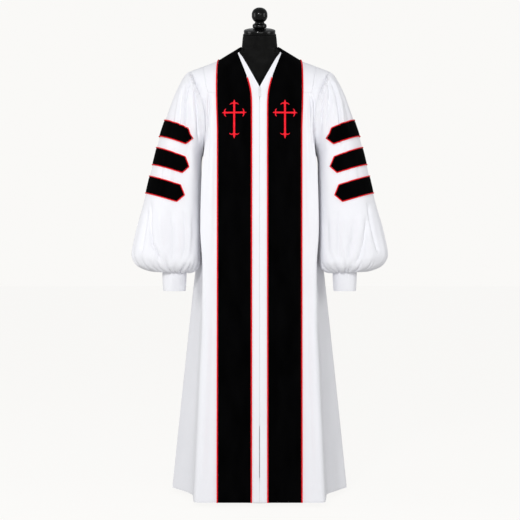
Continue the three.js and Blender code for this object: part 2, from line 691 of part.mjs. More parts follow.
// Place v where the sleeve meets a slanting line seen from the front, at an angle round it
function meetLine(angle, line) {
  let low = 1;
  let high = SLEEVE_RINGS.length - 2;
  for (let k = 0; k < SEARCH_STEPS; k += 1) {
    const v = (low + high) / 2;
    const p = sleevePoint(angle, v, MID_GATHER);
    if (p.z > line.z + line.slope * (p.x - line.x)) low = v;
    else high = v;
  }
  return (low + high) / 2;
}

// Angle at which that line reaches the x of the bar's inner end
function meetEnd(line, x) {
  let low = 0;
  let high = 2;
  for (let k = 0; k < SEARCH_STEPS; k += 1) {
    const angle = (low + high) / 2;
    if (sleevePoint(angle, meetLine(angle, line), MID_GATHER).x > x) low = angle;
    else high = angle;
  }
  return (low + high) / 2;
}

// Net of a bar: three lines from the front tip round the sleeve to the back tip
function barNet(bar) {
  const lineThrough = (x0, z0, x1, z1) => ({ x: x0, z: z0, slope: (z1 - z0) / (x1 - x0) });
  const top = lineThrough(bar.topX, bar.topZ, bar.inTopX, bar.inTopZ);
  const bottom = lineThrough(bar.bottomX, bar.bottomZ, bar.inBottomX, bar.inBottomZ);
  const middle = {
    x: (top.x + bottom.x) / 2,
    z: (top.z + bottom.z) / 2,
    slope: (top.slope + bottom.slope) / 2,
  };
  const ends = [bar.inTopX, bar.tipX, bar.inBottomX];
  return [top, middle, bottom].map((line, q) => {
    const reach = meetEnd(line, ends[q]);
    const points = [];
    for (let k = 0; k <= BAR_STEPS; k += 1) {
      const angle = lerp(reach, -reach, k / BAR_STEPS);
      points.push(sleeveSurface(angle, meetLine(angle, line)));
    }
    return points;
  });
}

// The edge of a bar's net as one closed line
function barEdge(net) {
  const last = BAR_STEPS;
  return [...net[0], net[1][last], ...net[2].slice().reverse(), net[1][0]];
}

// A thin plate from a flat outline of points and triangles, laid on the velvet
function plate(points, faces, lift, thick) {
  const positions = [];
  for (const [x, z] of points) {
    const step = 2;
    const p = vec(x, frontY(x, z), z);
    const dx = (frontY(x + step, z) - frontY(x - step, z)) / (2 * step);
    const dz = (frontY(x, z + step) - frontY(x, z - step)) / (2 * step);
    const n = vec(dx, -1, dz).normalize();
    const outer = p.clone().addScaledVector(n, lift + thick);
    const inner = p.clone().addScaledVector(n, lift);
    positions.push(outer.x, outer.y, outer.z, inner.x, inner.y, inner.z);
  }
  const triangles = [];
  const edges = new Set(faces.flatMap(([a, b, c]) => [`${a},${b}`, `${b},${c}`, `${c},${a}`]));
  for (const [a, b, c] of faces) {
    triangles.push(2 * a, 2 * b, 2 * c, 2 * a + 1, 2 * c + 1, 2 * b + 1);
    for (const [i, j] of [[a, b], [b, c], [c, a]]) {
      if (edges.has(`${j},${i}`)) continue;
      triangles.push(2 * i, 2 * i + 1, 2 * j + 1, 2 * i, 2 * j + 1, 2 * j);
    }
  }
  return solid(positions, triangles);
}

// The cross: a middle square and four arms with spreading ends
function crossPlate() {
  const { x: cx, topZ, height, width, armBelowTop, barHalf, armHalf } = CROSS;
  const { top, side: beside, bottom } = CROSS_SPREAD;
  const below = height - armBelowTop;
  const cz = topZ - armBelowTop;
  const points = [
    [cx - barHalf, cz + armHalf],
    [cx + barHalf, cz + armHalf],
    [cx + barHalf, cz - armHalf],
    [cx - barHalf, cz - armHalf],
  ];
  const faces = [[0, 2, 1], [0, 3, 2]];
  const arms = [
    { from: [0, 1], dir: [0, 1], reach: armBelowTop, start: armHalf, half: barHalf, spread: top },
    { from: [1, 2], dir: [1, 0], reach: width / 2, start: barHalf, half: armHalf, spread: beside },
    { from: [2, 3], dir: [0, -1], reach: below, start: armHalf, half: barHalf, spread: bottom },
    { from: [3, 0], dir: [-1, 0], reach: width / 2, start: barHalf, half: armHalf, spread: beside },
  ];
  for (const arm of arms) {
    const [dx, dz] = arm.dir;
    const at = (along, side) => [cx + dx * along + dz * side, cz + dz * along - dx * side];
    let [left, right] = arm.from;
    const stations = [];
    const straight = arm.reach - FLEURY[0].back;
    const steps = Math.ceil((straight - arm.start) / CROSS_STEP);
    for (let k = 1; k < steps; k += 1) stations.push([lerp(arm.start, straight, k / steps), 0, arm.half]);
    for (const { back: behind, sweep, share: part } of FLEURY) {
      if (part >= 0) stations.push([arm.reach - behind, sweep, lerp(arm.half, arm.spread, part)]);
    }
    for (const [along, sweep, half] of stations) {
      const id = points.length;
      points.push(at(along - sweep, -half), at(along - sweep, half));
      faces.push([left, right, id + 1], [left, id + 1, id]);
      [left, right] = [id, id + 1];
    }
    const tip = points.length;
    points.push(at(arm.reach, 0));
    faces.push([left, right, tip]);
  }
  return plate(points, faces, CROSS_LIFT, CROSS_THICKNESS);
}

// Velvet net: two columns behind the neck and four down the front, from the back edge to the hem
const velvetNet = [];
for (let r = BACK_BAND_ROW; r > 0; r -= 1) velvetNet.push(yoke[r].slice(0, 6));
velvetNet.push([...yoke[0].slice(0, 2), ...front[0].slice(1, 5)]);
for (let r = 1; r < front.length; r += 1) {
  velvetNet.push([front[r][1], front[r][1], ...front[r].slice(1, 5)]);
}
const VELVET_SHOULDER = BACK_BAND_ROW; // index of the shoulder row in the velvet's net
const velvetHas = (r, c) => r < VELVET_SHOULDER || c >= 2;
function velvetInset(r, c, direction) {
  if (direction === "right") return PIPING_ROOM;
  if (direction === "top") return r === 0 ? PIPING_ROOM : EDGE;
  if (direction === "left" && r - VELVET_SHOULDER >= PIPING_TOP_ROW) return PIPING_ROOM;
  return EDGE;
}
const placketNet = front.slice(BAND_TOP_ROW).map((line) => line.slice(0, 2));
function placketInset(r, c, direction) {
  return direction === "right" && r + BAND_TOP_ROW >= PIPING_TOP_ROW ? PIPING_ROOM : EDGE;
}

// Which cells of the front's net belong to the front itself
function frontHas(r, c) {
  if (r < YOKE_SEAM_ROW && c >= FRONT_COLUMNS.outer && c < FRONT_COLUMNS.fold) return false;
  return !(r < BAND_TOP_ROW && c === 0);
}
const yokeSlice = front.slice(0, YOKE_SEAM_ROW + 1);
const frontYokeNet = yokeSlice.map((line) => line.slice(FRONT_COLUMNS.outer, FRONT_COLUMNS.fold + 1));

// Both halves of the back as one net
const acrossX = ({ p, n }) => ({ p: vec(-p.x, p.y, p.z), n: vec(-n.x, n.y, n.z) });
const bothSides = (net) => net.map((line) => [...line.slice(1).reverse().map(acrossX), ...line]);

// Outer cord: up the front, over the shoulder and along the lower edge of the band behind the neck
const outerLine = [];
for (let r = front.length - 1; r >= 0; r -= 1) outerLine.push(front[r][FRONT_COLUMNS.outer]);
for (let r = 1; r <= BACK_BAND_ROW; r += 1) outerLine.push(yoke[r][5]);
for (let j = 4; j >= 0; j -= 1) outerLine.push(yoke[BACK_BAND_ROW][j]);
const { p: lastPoint, n: lastNormal } = outerLine.pop();
outerLine.push({ p: lastPoint.clone().setX(EDGE), n: lastNormal });
const innerLine = front.slice(PIPING_TOP_ROW).map((line) => line[FRONT_COLUMNS.inner]);

// A cuff: a plain tube under the sleeve's gathers
function cuffGeometry() {
  const points = CUFF_RINGS.map(({ z, r }) => {
    const line = [];
    for (let i = 0; i < CUFF_SEGMENTS; i += 1) {
      const a = (2 * Math.PI * i) / CUFF_SEGMENTS;
      line.push(vec(CUFF_X + r * Math.cos(a), CUFF_Y - r * Math.sin(a), z));
    }
    return line;
  });
  return wall(withNormals(points, -1, true), { closed: true, thick: CUFF_THICKNESS, inset: 0 });
}

// A closed body through rings of points, with flat ends
function loft(rings) {
  const count = rings[0].length;
  const positions = rings.flatMap((ring) => ring.flatMap((p) => [p.x, p.y, p.z]));
  const triangles = [];
  for (let k = 0; k < rings.length - 1; k += 1) {
    for (let i = 0; i < count; i += 1) {
      const j = (i + 1) % count;
      const a = k * count;
      const b = a + count;
      triangles.push(a + i, a + j, b + j, a + i, b + j, b + i);
    }
  }
  for (const [ring, flip] of [[rings[0], false], [rings[rings.length - 1], true]]) {
    const base = flip ? (rings.length - 1) * count : 0;
    const middle = ring.reduce((sum, p) => sum.add(p), vec(0, 0, 0)).divideScalar(count);
    const id = positions.length / 3;
    positions.push(middle.x, middle.y, middle.z);
    for (let i = 0; i < count; i += 1) {
      const j = (i + 1) % count;
      if (flip) triangles.push(base + i, base + j, id);
      else triangles.push(base + j, base + i, id);
    }
  }
  return solid(positions, triangles);
}

// Widest x of the form at a height, kept under the shoulder line
function shoulderReach(z, half) {
  let low = 0;
  let high = half;
  for (let k = 0; k < SEARCH_STEPS; k += 1) {
    const x = (low + high) / 2;
    if (shoulderZ(x) - TORSO_HEADROOM > z) low = x;
    else high = x;
  }
  return low;
}

// Torso and neck of the form as one smooth body under the cloth
function torsoGeometry() {
  const rings = [];
  for (const { z, half, front: deep, back: rear } of TORSO.slice().reverse()) {
    const reach = z >= NECK_BASE_Z ? half : shoulderReach(z, half);
    const middle = SHOULDER_Y * smooth((NECK_BASE_Z - z) / 40);
    const ring = [];
    for (let i = 0; i < TORSO_SEGMENTS; i += 1) {
      const a = (2 * Math.PI * i) / TORSO_SEGMENTS;
      const x = reach * Math.cos(a);
      const s = -Math.sin(a);
      let y = middle + (s < 0 ? deep : rear) * s;
      const turn = underFaces(Math.max(0, shoulderZ(x) - z - TORSO_HEADROOM));
      const frontLimit = lerp(SHOULDER_Y, frontFlat(x, z), turn) + TORSO_CLEARANCE;
      const backLimit = lerp(SHOULDER_Y, backFlat(x, z), turn) - TORSO_CLEARANCE;
      if (z < NECK_BASE_Z && Math.abs(x) > TORSO_NECK_X) {
        if (s < 0) y = Math.max(y, Math.min(middle, frontLimit));
        else y = Math.min(y, Math.max(middle, backLimit));
      }
      ring.push(vec(x, y, z));
    }
    rings.push(ring);
  }
  for (const { z, r, slant } of NECK_RINGS) {
    const ring = [];
    for (let i = 0; i < TORSO_SEGMENTS; i += 1) {
      const a = (2 * Math.PI * i) / TORSO_SEGMENTS;
      const y = -r * Math.sin(a);
      ring.push(vec(r * Math.cos(a), y, z + slant * y * Math.tan(CAP_TILT)));
    }
    rings.push(ring);
  }
  return loft(rings);
}

// A turned piece from a profile of [radius, height] points
function lathe(profile, segments) {
  const points = profile.map(([r, z]) => new THREE.Vector2(r, z));
  const geometry = new THREE.LatheGeometry(points, segments);
  geometry.rotateX(Math.PI / 2);
  return geometry;
}

// Two closed bodies joined into one
const wasm = await Module();
wasm.setup();
function joined(a, b) {
  const bodies = [a, b].map((geometry) => {
    const bare = new THREE.BufferGeometry();
    bare.setAttribute("position", geometry.getAttribute("position"));
    if (geometry.index) bare.setIndex(geometry.index);
    const merged = mergeVertices(bare, 1e-3);
    const vertProperties = merged.attributes.position.array;
    const triVerts = new Uint32Array(merged.index.array);
    return new wasm.Manifold(new wasm.Mesh({ numProp: 3, vertProperties, triVerts }));
  });
  const mesh = bodies[0].add(bodies[1]).getMesh();
  return solid(Array.from(mesh.vertProperties), Array.from(mesh.triVerts));
}

// A flat outline of [a, b] points, with holes, as a plate centred on its thickness
function flatPlate(outline, holes, thick) {
  const turn = (points, clockwise) => {
    const line = points.map(([a, b]) => new THREE.Vector2(a, b));
    return THREE.ShapeUtils.isClockWise(line) === clockwise ? line : line.reverse();
  };
  const shape = new THREE.Shape(turn(outline, false));
  for (const hole of holes) shape.holes.push(new THREE.Path(turn(hole, true)));
  const geometry = new THREE.ExtrudeGeometry(shape, { depth: thick, bevelEnabled: false });
  return geometry.translate(0, 0, -thick / 2);
}

// Slider: a plate with a bridge whose tunnel takes the pull's bar
function sliderGeometry() {
  const { width, length, thick, bridgeWidth, bridgeTop, bar } = SLIDER;
  const end = length / 2;
  const side = width / 2;
  const lowerEdge = [[-side + 1, -end], [side - 1, -end], [side, 1]];
  const body = flatPlate([...lowerEdge, [side - 0.5, end], [-side + 0.5, end], [-side, 1]], [], thick);
  body.rotateX(Math.PI / 2).translate(0, -thick / 2, 0);
  const foot = -thick + 0.5;
  const { bridgeHalf: reach, tunnelHalf: hole } = SLIDER;
  const corner = bridgeTop + 1;
  const arch = [[foot, -reach], [corner, -reach], [bridgeTop, 1 - reach]];
  arch.push([bridgeTop, reach - 1], [corner, reach], [foot, reach]);
  const tunnel = [[-thick, -hole], [bridgeTop + bar, -hole], [bridgeTop + bar, hole], [-thick, hole]];
  const bridge = flatPlate(arch, [tunnel], bridgeWidth);
  // The profile's first axis is y and its second is z
  bridge.applyMatrix4(new THREE.Matrix4().makeBasis(vec(0, 1, 0), vec(0, 0, 1), vec(1, 0, 0)));
  return joined(body, bridge);
}

// Pull tab about its own bar, hanging down
function pullGeometry() {
  const { barHalf, eyeHalf, legWidth, eyeEnd, length, half } = PULL;
  const outer = eyeHalf + legWidth;
  const rightEdge = [[half - 2, -length], [half, -length + 2], [half, -eyeEnd - 3]];
  rightEdge.push([outer, 1 - eyeEnd], [outer, barHalf]);
  const leftEdge = rightEdge.map(([x, y]) => [-x, y]).reverse();
  const outline = [...leftEdge, ...rightEdge];
  const eye = [[-eyeHalf, -barHalf], [-eyeHalf, -eyeEnd], [eyeHalf, -eyeEnd], [eyeHalf, -barHalf]];
  return flatPlate(outline, [eye], 2 * barHalf - 0.2).rotateX(Math.PI / 2);
}

// Materials
function material(color, roughness, metalness = 0) {
  return new THREE.MeshStandardMaterial({ color, roughness, metalness });
}
const white = material(0xf4f4f8, 0.75);
const velvet = material(0x050505, 0.9);
const red = material(0xd81020, 0.6);
const jersey = material(0x161616, 0.85);
const gloss = material(0x050505, 0.15);
const metal = material(0xdedee2, 0.35, 0.6);
const steel = material(0x1a1a1a, 0.4, 0.7);

const robe = new THREE.Group();
function add(name, geometry, finish, parent = robe) {
  const mesh = new THREE.Mesh(geometry, finish);
  mesh.name = name;
  parent.add(mesh);
  return mesh;
}
// A piece on the +X side, which is the wearer's left, and its mirror image
function addPair(name, geometry, finish, ending = "") {
  add(`${name}_left${ending}`, geometry, finish);
  add(`${name}_right${ending}`, mirrored(geometry), finish);
}

addPair("front", wall(front, { has: frontHas }), white);
addPair("front_yoke", wall(frontYokeNet), white);
add("back_yoke", wall(bothSides(yoke)), white);
add("back", wall(bothSides(back)), white);
addPair("sleeve", wall(sleeve, { closed: true, inset: 0 }), white);
addPair("cuff", cuffGeometry(), white);
const overVelvet = { lift: OVERLAY_LIFT + VELVET, thick: VELVET };
addPair("velvet_panel", wall(velvetNet, { ...overVelvet, has: velvetHas, inset: velvetInset }), velvet);
addPair("placket", wall(placketNet, { lift: OVERLAY_LIFT + CLOTH, inset: placketInset }), white);
addPair("piping_outer", cord(outerLine, PIPING_RADIUS), red);
addPair("piping_inner", cord(innerLine, PIPING_RADIUS), red);
addPair("cross", crossPlate(), red);
BARS.forEach((bar, k) => {
  const net = barNet(bar);
  const ends = ["left", "right"];
  const inset = (r, c, direction) => (ends.includes(direction) ? BAR_END_ROOM : PIPING_ROOM);
  const lift = BAR_LIFTS[k];
  const lifted = { lift: lift + VELVET, thick: VELVET, inset };
  const edging = cord(barEdge(net), PIPING_RADIUS, { closed: true, sides: BAR_CORD_SIDES, lift });
  addPair("sleeve_bar", wall(net, lifted), velvet, `_${k + 1}`);
  addPair("bar_piping", edging, red, `_${k + 1}`);
});

// The form: torso and neck, cap, finial, pole and base
add("form_body", torsoGeometry(), jersey);
const head = new THREE.Group();
head.position.z = CAP_Z;
head.rotation.x = CAP_TILT;
robe.add(head);
add("form_cap", lathe(CAP_PROFILE, 24), gloss, head);
add("form_finial", lathe(FINIAL_PROFILE, 14), gloss, head);
const torsoBottom = TORSO[TORSO.length - 1].z;
const poleProfile = [[0, BASE_THICKNESS + SEAM_GAP], [POLE_RADIUS, BASE_THICKNESS + SEAM_GAP]];
poleProfile.push([POLE_RADIUS, torsoBottom - SEAM_GAP], [0, torsoBottom - SEAM_GAP]);
add("form_pole", lathe(poleProfile, 16), steel);
const baseProfile = [[0, 0], [BASE_RADIUS, 0], [BASE_RADIUS, BASE_THICKNESS - 3]];
baseProfile.push([BASE_RADIUS - 5, BASE_THICKNESS], [0, BASE_THICKNESS]);
add("form_base", lathe(baseProfile, 32), steel);

// The slider lies on the flaps at the foot of the V, tilted as the chest is
const chestSlope = (frontY(0, SLIDER.z + 6) - frontY(0, SLIDER.z - 6)) / 12;
const zip = new THREE.Group();
zip.position.set(0, frontY(0, SLIDER.z) - OVERLAY_LIFT - CLOTH - SEAM_GAP - 0.1, SLIDER.z);
zip.rotation.x = -Math.atan(chestSlope);
robe.add(zip);
add("zip_slider", sliderGeometry(), metal, zip);
const pull = add("zip_pull", pullGeometry(), metal, zip);
pull.position.set(0, PULL.y, PULL.z);

export default robe;
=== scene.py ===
"""Clergy robe on a limbless dress form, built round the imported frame.

Sizes are in millimetres, in the frame's own axes, until a mesh is made from them.
The front faces -Y. Each half is worked out on the +X side, and the -X half is turned over afterwards.
"""

import math
import random

import bpy
import numpy as np
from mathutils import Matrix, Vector


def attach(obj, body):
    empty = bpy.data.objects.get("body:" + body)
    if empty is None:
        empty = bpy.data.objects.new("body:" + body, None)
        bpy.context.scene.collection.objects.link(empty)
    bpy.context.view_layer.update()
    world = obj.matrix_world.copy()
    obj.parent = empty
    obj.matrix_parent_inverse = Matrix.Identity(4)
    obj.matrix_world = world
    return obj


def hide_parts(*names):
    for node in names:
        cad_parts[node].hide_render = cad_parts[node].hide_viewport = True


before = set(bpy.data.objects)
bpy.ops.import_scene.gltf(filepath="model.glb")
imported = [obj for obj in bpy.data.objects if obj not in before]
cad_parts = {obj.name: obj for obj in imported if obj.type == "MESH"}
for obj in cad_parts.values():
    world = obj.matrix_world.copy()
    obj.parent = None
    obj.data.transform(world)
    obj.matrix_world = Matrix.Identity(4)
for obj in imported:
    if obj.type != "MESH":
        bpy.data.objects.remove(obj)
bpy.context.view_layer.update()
MM = 0.001
GARMENT = "garment"
SIDES = {"left": 1, "right": -1}

# Driving sizes of the cloth
CLOTH = 1.5
VELVET = 1.4
EDGE = 0.15
OVERLAY_LIFT = 0.4
PIPING_RADIUS = 2
PIPING_ROOM = 2.1
NECK_ROLL = 1.8
BAR_PIPING_RADIUS = 1.7
BAR_END_ROOM = PIPING_ROOM - 0.1
BAR_EDGE_ROOM = PIPING_ROOM - 0.3
BAR_CORD_SUNK = 0.4
HEM_BAND_Z = 73
SHOULDER_Y = 5
SHOULDER_ROUND = 75
PANEL_X = 126
NECK_X = 57.5
BACK_NECK_DEPTH = 52
NECK_ROUND = 3
PLACKET_EDGE_X = 24
NOSE_DEPTH = 14
BACK_BOW = 6
BACK_COLUMNS = 12
BACK_FLUTES = 3
BACK_ROUND_X = 0.8
BACK_ROUND_Y = 0.6
SLEEVE_SEGMENTS = 40

SHOULDER_LINE = [(0, 1384), (40, 1384), (57.5, 1381), (126, 1340), (166, 1325), (215, 1307)]
FRONT_DEPTH = [
    (14, -226), (110, -218), (240, -207.5), (390, -195), (540, -181.5), (690, -167.5),
    (820, -155.5), (950, -143), (1060, -131.5), (1110, -127), (1180, -118), (1229, -108.5),
    (1262, -100), (1300, -88), (1340, -74), (1384, -64),
]
BACK_DEPTH = [(1060, 116), (1110, 112), (1229, 104), (1300, 96), (1340, 92), (1384, 88)]
CHEST_BOW = [(14, 0), (690, 3), (1060, 8), (1229, 12), (1384, 12)]


def named(text):
    """Rows of a text table as dictionaries, with the names in its first line."""
    keys, *rows = (line.split() for line in text.strip().splitlines())
    return [dict(zip(keys, map(float, row))) for row in rows]


# Rows of the front from the shoulder line down to the underarm
UPPER_ROWS = named("""
    level follow neck inner outer fold arm_x arm_front_y arm_back_y arm_z relief flute
      1340   1 57.5 57.5   126   175   213   5  5 1307.5 0   0
    1334.5   1 60.5 60.5 127.3   174 211.5 -15 25 1302.5 0   0
    1320.5   1   62   66   129 171.5   207 -33 43   1290 0   0
      1299 0.9   50 59.5 129.7 167.5   199 -51 58   1270 0   0
      1255 0.4 15.2   37   130   162   190 -67 73   1247 0   0
      1240 0.1    0 29.5   130   159   182 -80 84   1226 0   0
      1229   0    0 26.5 129.8   157   176 -88 91   1209 1   0
      1195   0    0 24.3   129 156.5   170 -97 98   1180 5   2
      1155   0    0   24 127.5   156   168 -96 98   1138 7   4
      1110   0    0   24 126.3   156   170 -58 60   1084 8 5.5
      1060   0    0   24   126   156   175   0  0   1060 8 6.5
""")
BAND_TOP_ROW = 2
PIPING_TOP_ROW = 4
V_FOOT_ROW = 5
YOKE_SEAM_ROW = 6
YOKE_SEAM_Z = 1229
LAST_UPPER = len(UPPER_ROWS) - 1
FOLD_PROFILE = [-0.35, 0.5, 1, 0.3, 0]

# Rows of the skirt: the turned row at the underarm itself, then those below it
UNDERARM_ROW, *LOWER_ROWS = named("""
    z outer crest nose valley_x valley_y side_x side_y back_y flute
    1060   126 158   166   164  -84   175  0 116 6.5
     950 125.6 165   175   163  -90   176  6 126   8
     820 125.2 166   177 164.5  -95   184 11 140  10
     690 124.8 160   170   169  -98   200 14 154  12
     540 124.5 161   171   178 -100 216.5 15 173  15
     390 124.2 166   177   186 -101 232.5 16 192  18
     240   124 172   183   193 -102 248.5 17 210  20
     110 123.8 177 188.5   199 -103   262 18 226  22
      14 123.5 181   193   203 -104   272 18 238  24
""")
# Columns of the front's net, and of the yoke's at the neck hole and at the velvet's outer edge
MIDDLE, INNER, OUTER, FOLD = 0, 1, 4, 6
YOKE_NECK, YOKE_PANEL = 2, 5

YOKE_COLUMNS = [0, 42, 57.5, 80, 103, 126, 140, 151, 162, 174, 187, 200, 213]
BACK_BAND_EDGE = [126, 125, 119, 96, 110, 118]
BACK_BAND_INNER = [57.5, 56, 50, 38, 48, 56]
BACK_BAND_ROW = 3
NECK_DROP_SHARE = [1, 0.85, 0.6, 0.35, 0.15, 0.05, 0]

SLEEVE_RINGS = named("""
    ox oz ix iz y half bulge
      228  1297   179 1049   0   99 20
      246  1268   181 1035  -4  101 12
      263  1230   181 1015 -10  102  6
      277  1187   180  988 -17  101  2
      291  1143   180  955 -25   98  0
      306  1094   180  918 -33   94  0
      330   992   180  850 -46   88  0
      352   892   180  787 -60   82  0
      376   798   180  741 -70   78  0
      386   739   181  714 -75   77  0
      376   713   186  698 -75   72  0
      352   696   199  688 -75   60  0
      318   688   213  684 -75   46  0
    295.9 689.5 221.1  688 -75 37.4  0
""")
EVEN_RING = 3
SOFT_FOLDS = 5
SOFT_FOLD_DEPTH = 2.5
FOLD_GAIN = 1.4
INNER_SQUARE_FRONT = 0.12
INNER_SQUARE_BACK = 0.05

BARS = named("""
    top_x top_z bottom_x bottom_z in_top_x in_top_z tip_x in_bottom_x in_bottom_z lift
    283 1148 298 1098 217 1119 202 223 1071 1.9
    304 1062 319 1011 224 1032 212 232  984 0.9
    325  975 338  923 237  947 225 248  897 0.9
""")

CUFF_X = 258.5
CUFF_Y = -75
CUFF_THICKNESS = 2
CUFF_RINGS = [(690, 37), (660, 36), (628, 34)]
CUFF_ROWS = 32
CUFF_SEGMENTS = 64
CUFF_SEAM = 5


# Small helpers
def lerp(a, b, t):
    return a + (b - a) * t


def clamp01(t):
    return np.clip(t, 0, 1)


def smooth(t):
    t = clamp01(t)
    return t * t * (3 - 2 * t)


def table(rows, x):
    keys, values = zip(*rows)
    return np.interp(x, keys, values)


def unit(a):
    return a / np.maximum(np.linalg.norm(a, axis=-1, keepdims=True), 1e-9)


def column(rows, key):
    return np.array([row[key] for row in rows], float)


def run(p, axis=0):
    """Distance along each line of points from its first point."""
    steps = np.linalg.norm(np.diff(p, axis=axis), axis=-1)
    return np.concatenate([np.zeros_like(steps.take([0], axis)), np.cumsum(steps, axis)], axis)


def read(at, length, p):
    """Points at places along a line of points."""
    return np.stack([np.interp(at, length, p[:, k]) for k in range(3)], 1)


def border(low, high, inside, steps=30):
    """The place between low and high where inside stops holding."""
    for _ in range(steps):
        middle = (low + high) / 2
        held = inside(middle)
        low, high = np.where(held, middle, low), np.where(held, high, middle)
    return (low + high) / 2


def between(a, r0, c0, c1, fr, fc):
    """Values of a net between four of its points, at the shares fr and fc of a cell."""
    upper = a[r0, c0] * (1 - fc) + a[r0, c1] * fc
    lower = a[r0 + 1, c0] * (1 - fc) + a[r0 + 1, c1] * fc
    return upper * (1 - fr) + lower * fr


# The garment's surfaces
def shoulder_z(x):
    return table(SHOULDER_LINE, np.abs(x))


def shoulder_turn(drop):
    t = clamp01(drop / SHOULDER_ROUND)
    return np.sqrt(2 * t - t * t)


def front_flat(x, z):
    return table(FRONT_DEPTH, z) + table(CHEST_BOW, z) * (x / PANEL_X) ** 2


def back_flat(x, z):
    return table(BACK_DEPTH, z) - BACK_BOW * (x / PANEL_X) ** 2


def front_y(x, z):
    return lerp(SHOULDER_Y, front_flat(x, z), shoulder_turn(shoulder_z(x) - z))


def back_y(x, z):
    return lerp(SHOULDER_Y, back_flat(x, z), shoulder_turn(shoulder_z(x) - z))


def row_z(row, x):
    return row["level"] + row["follow"] * (shoulder_z(x) - shoulder_z(PANEL_X))


def front_columns(neck, inner, outer, fold):
    third = (outer - inner) / 3
    return [neck, inner, inner + third, outer - third, outer, (outer + fold) / 2, fold]


def upper_front_row(row):
    xs = front_columns(row["neck"], row["inner"], row["outer"], row["fold"])
    points = [(x, front_y(x, row_z(row, x)), row_z(row, x)) for x in xs]
    start_x, start_z = points[-1][0], points[-1][2]
    miss = row["arm_front_y"] - front_y(row["arm_x"], row["arm_z"])
    for k, part in enumerate(FOLD_PROFILE, 1):
        w = k / len(FOLD_PROFILE)
        x = lerp(start_x, row["arm_x"], w)
        z = lerp(start_z, row["arm_z"], w)
        points.append((x, front_y(x, z) + miss * w * w + part * row["relief"], z))
    return points


def lower_front_row(row):
    z = row["z"]
    nose_y = table(FRONT_DEPTH, z) + NOSE_DEPTH
    xs = front_columns(0, PLACKET_EDGE_X, row["outer"], row["crest"])
    points = [(x, front_y(x, z), z) for x in xs]
    nose, vx, vy, sx, sy = (row[k] for k in ("nose", "valley_x", "valley_y", "side_x", "side_y"))
    points.append((nose, nose_y, z))
    points.append((lerp(nose, vx, 0.45), lerp(nose_y, vy, 0.45), z))
    points.append((vx, vy, z))
    points.append((lerp(vx, sx, 0.45), lerp(vy, sy, 0.5), z))
    points.append((sx, sy, z))
    return points


def front_net():
    rows = [upper_front_row(row) for row in UPPER_ROWS] + [lower_front_row(row) for row in LOWER_ROWS]
    rows[LAST_UPPER][FOLD:] = lower_front_row(UNDERARM_ROW)[FOLD:]
    return np.array(rows, float)


def back_row(x1, y1, z1, y_middle, z_middle, flute):
    points = []
    for j in range(BACK_COLUMNS + 1):
        w = j / BACK_COLUMNS
        a = w * math.pi / 2
        x = x1 * math.sin(a) ** BACK_ROUND_X
        y = y1 + (y_middle - y1) * max(0, math.cos(a)) ** BACK_ROUND_Y
        wave = flute * math.cos(2 * math.pi * BACK_FLUTES * w) * (1 - w**3)
        out = np.array([math.sin(a) * (y_middle / x1), math.cos(a)])
        out /= np.linalg.norm(out)
        points.append((x + wave * out[0], y + wave * out[1], lerp(z_middle, z1, w**3)))
    return points


def back_net():
    rows = []
    for row in UPPER_ROWS[YOKE_SEAM_ROW:]:
        depth = table(BACK_DEPTH, row["level"])
        rows.append(back_row(row["arm_x"], row["arm_back_y"], row["arm_z"], depth, row["level"], row["flute"]))
    for row in LOWER_ROWS:
        rows.append(back_row(row["side_x"], row["side_y"], row["z"], row["back_y"], row["z"], row["flute"]))
    return np.array(rows, float)


def neck_drop(x):
    if x >= NECK_X:
        return 0
    behind = BACK_NECK_DEPTH * math.sqrt(max(0, 1 - (x / NECK_X) ** NECK_ROUND))
    part = behind / (table(BACK_DEPTH, shoulder_z(x)) - SHOULDER_Y)
    return SHOULDER_ROUND * (1 - math.sqrt(1 - part * part))


def yoke_column_x(r, j):
    edge, inner = BACK_BAND_EDGE[r], BACK_BAND_INNER[r]
    if j <= YOKE_NECK:
        return inner * YOKE_COLUMNS[j] / NECK_X
    if j <= YOKE_PANEL:
        return lerp(inner, edge, (j - YOKE_NECK) / (YOKE_PANEL - YOKE_NECK))
    part = (YOKE_COLUMNS[j] - PANEL_X) / (YOKE_COLUMNS[-1] - PANEL_X)
    return lerp(edge, UPPER_ROWS[r]["arm_x"], part)


def yoke_net(back):
    rows = []
    for r, row in enumerate(UPPER_ROWS[:YOKE_SEAM_ROW]):
        miss = row["arm_back_y"] - back_y(row["arm_x"], row["arm_z"])
        miss_z = row["arm_z"] - row_z(row, row["arm_x"])
        points = []
        for j in range(BACK_COLUMNS + 1):
            x = YOKE_COLUMNS[j] if r == 0 else yoke_column_x(r, j)
            w = float(clamp01((x - PANEL_X) / (row["arm_x"] - PANEL_X))) ** 2
            z = row_z(row, x) - neck_drop(x) * NECK_DROP_SHARE[r] + miss_z * w
            points.append((x, back_y(x, z) + miss * w, z))
        rows.append(points)
    rows.append(back[0].tolist())
    return np.array(rows, float)


# Finer nets through the same points
def slopes(t, p):
    """Slopes at the points of a line that never overshoot them."""
    h = np.diff(t).reshape(-1, *[1] * (p.ndim - 1))
    d = np.diff(p, axis=0) / h
    m = np.zeros_like(p)
    m[0], m[-1] = d[0], d[-1]
    before, after = d[:-1], d[1:]
    w1 = 2 * h[1:] + h[:-1]
    w2 = h[1:] + 2 * h[:-1]
    same = before * after > 0
    safe_before = np.where(same, before, 1)
    safe_after = np.where(same, after, 1)
    m[1:-1] = np.where(same, (w1 + w2) / (w1 / safe_before + w2 / safe_after), 0)
    return m


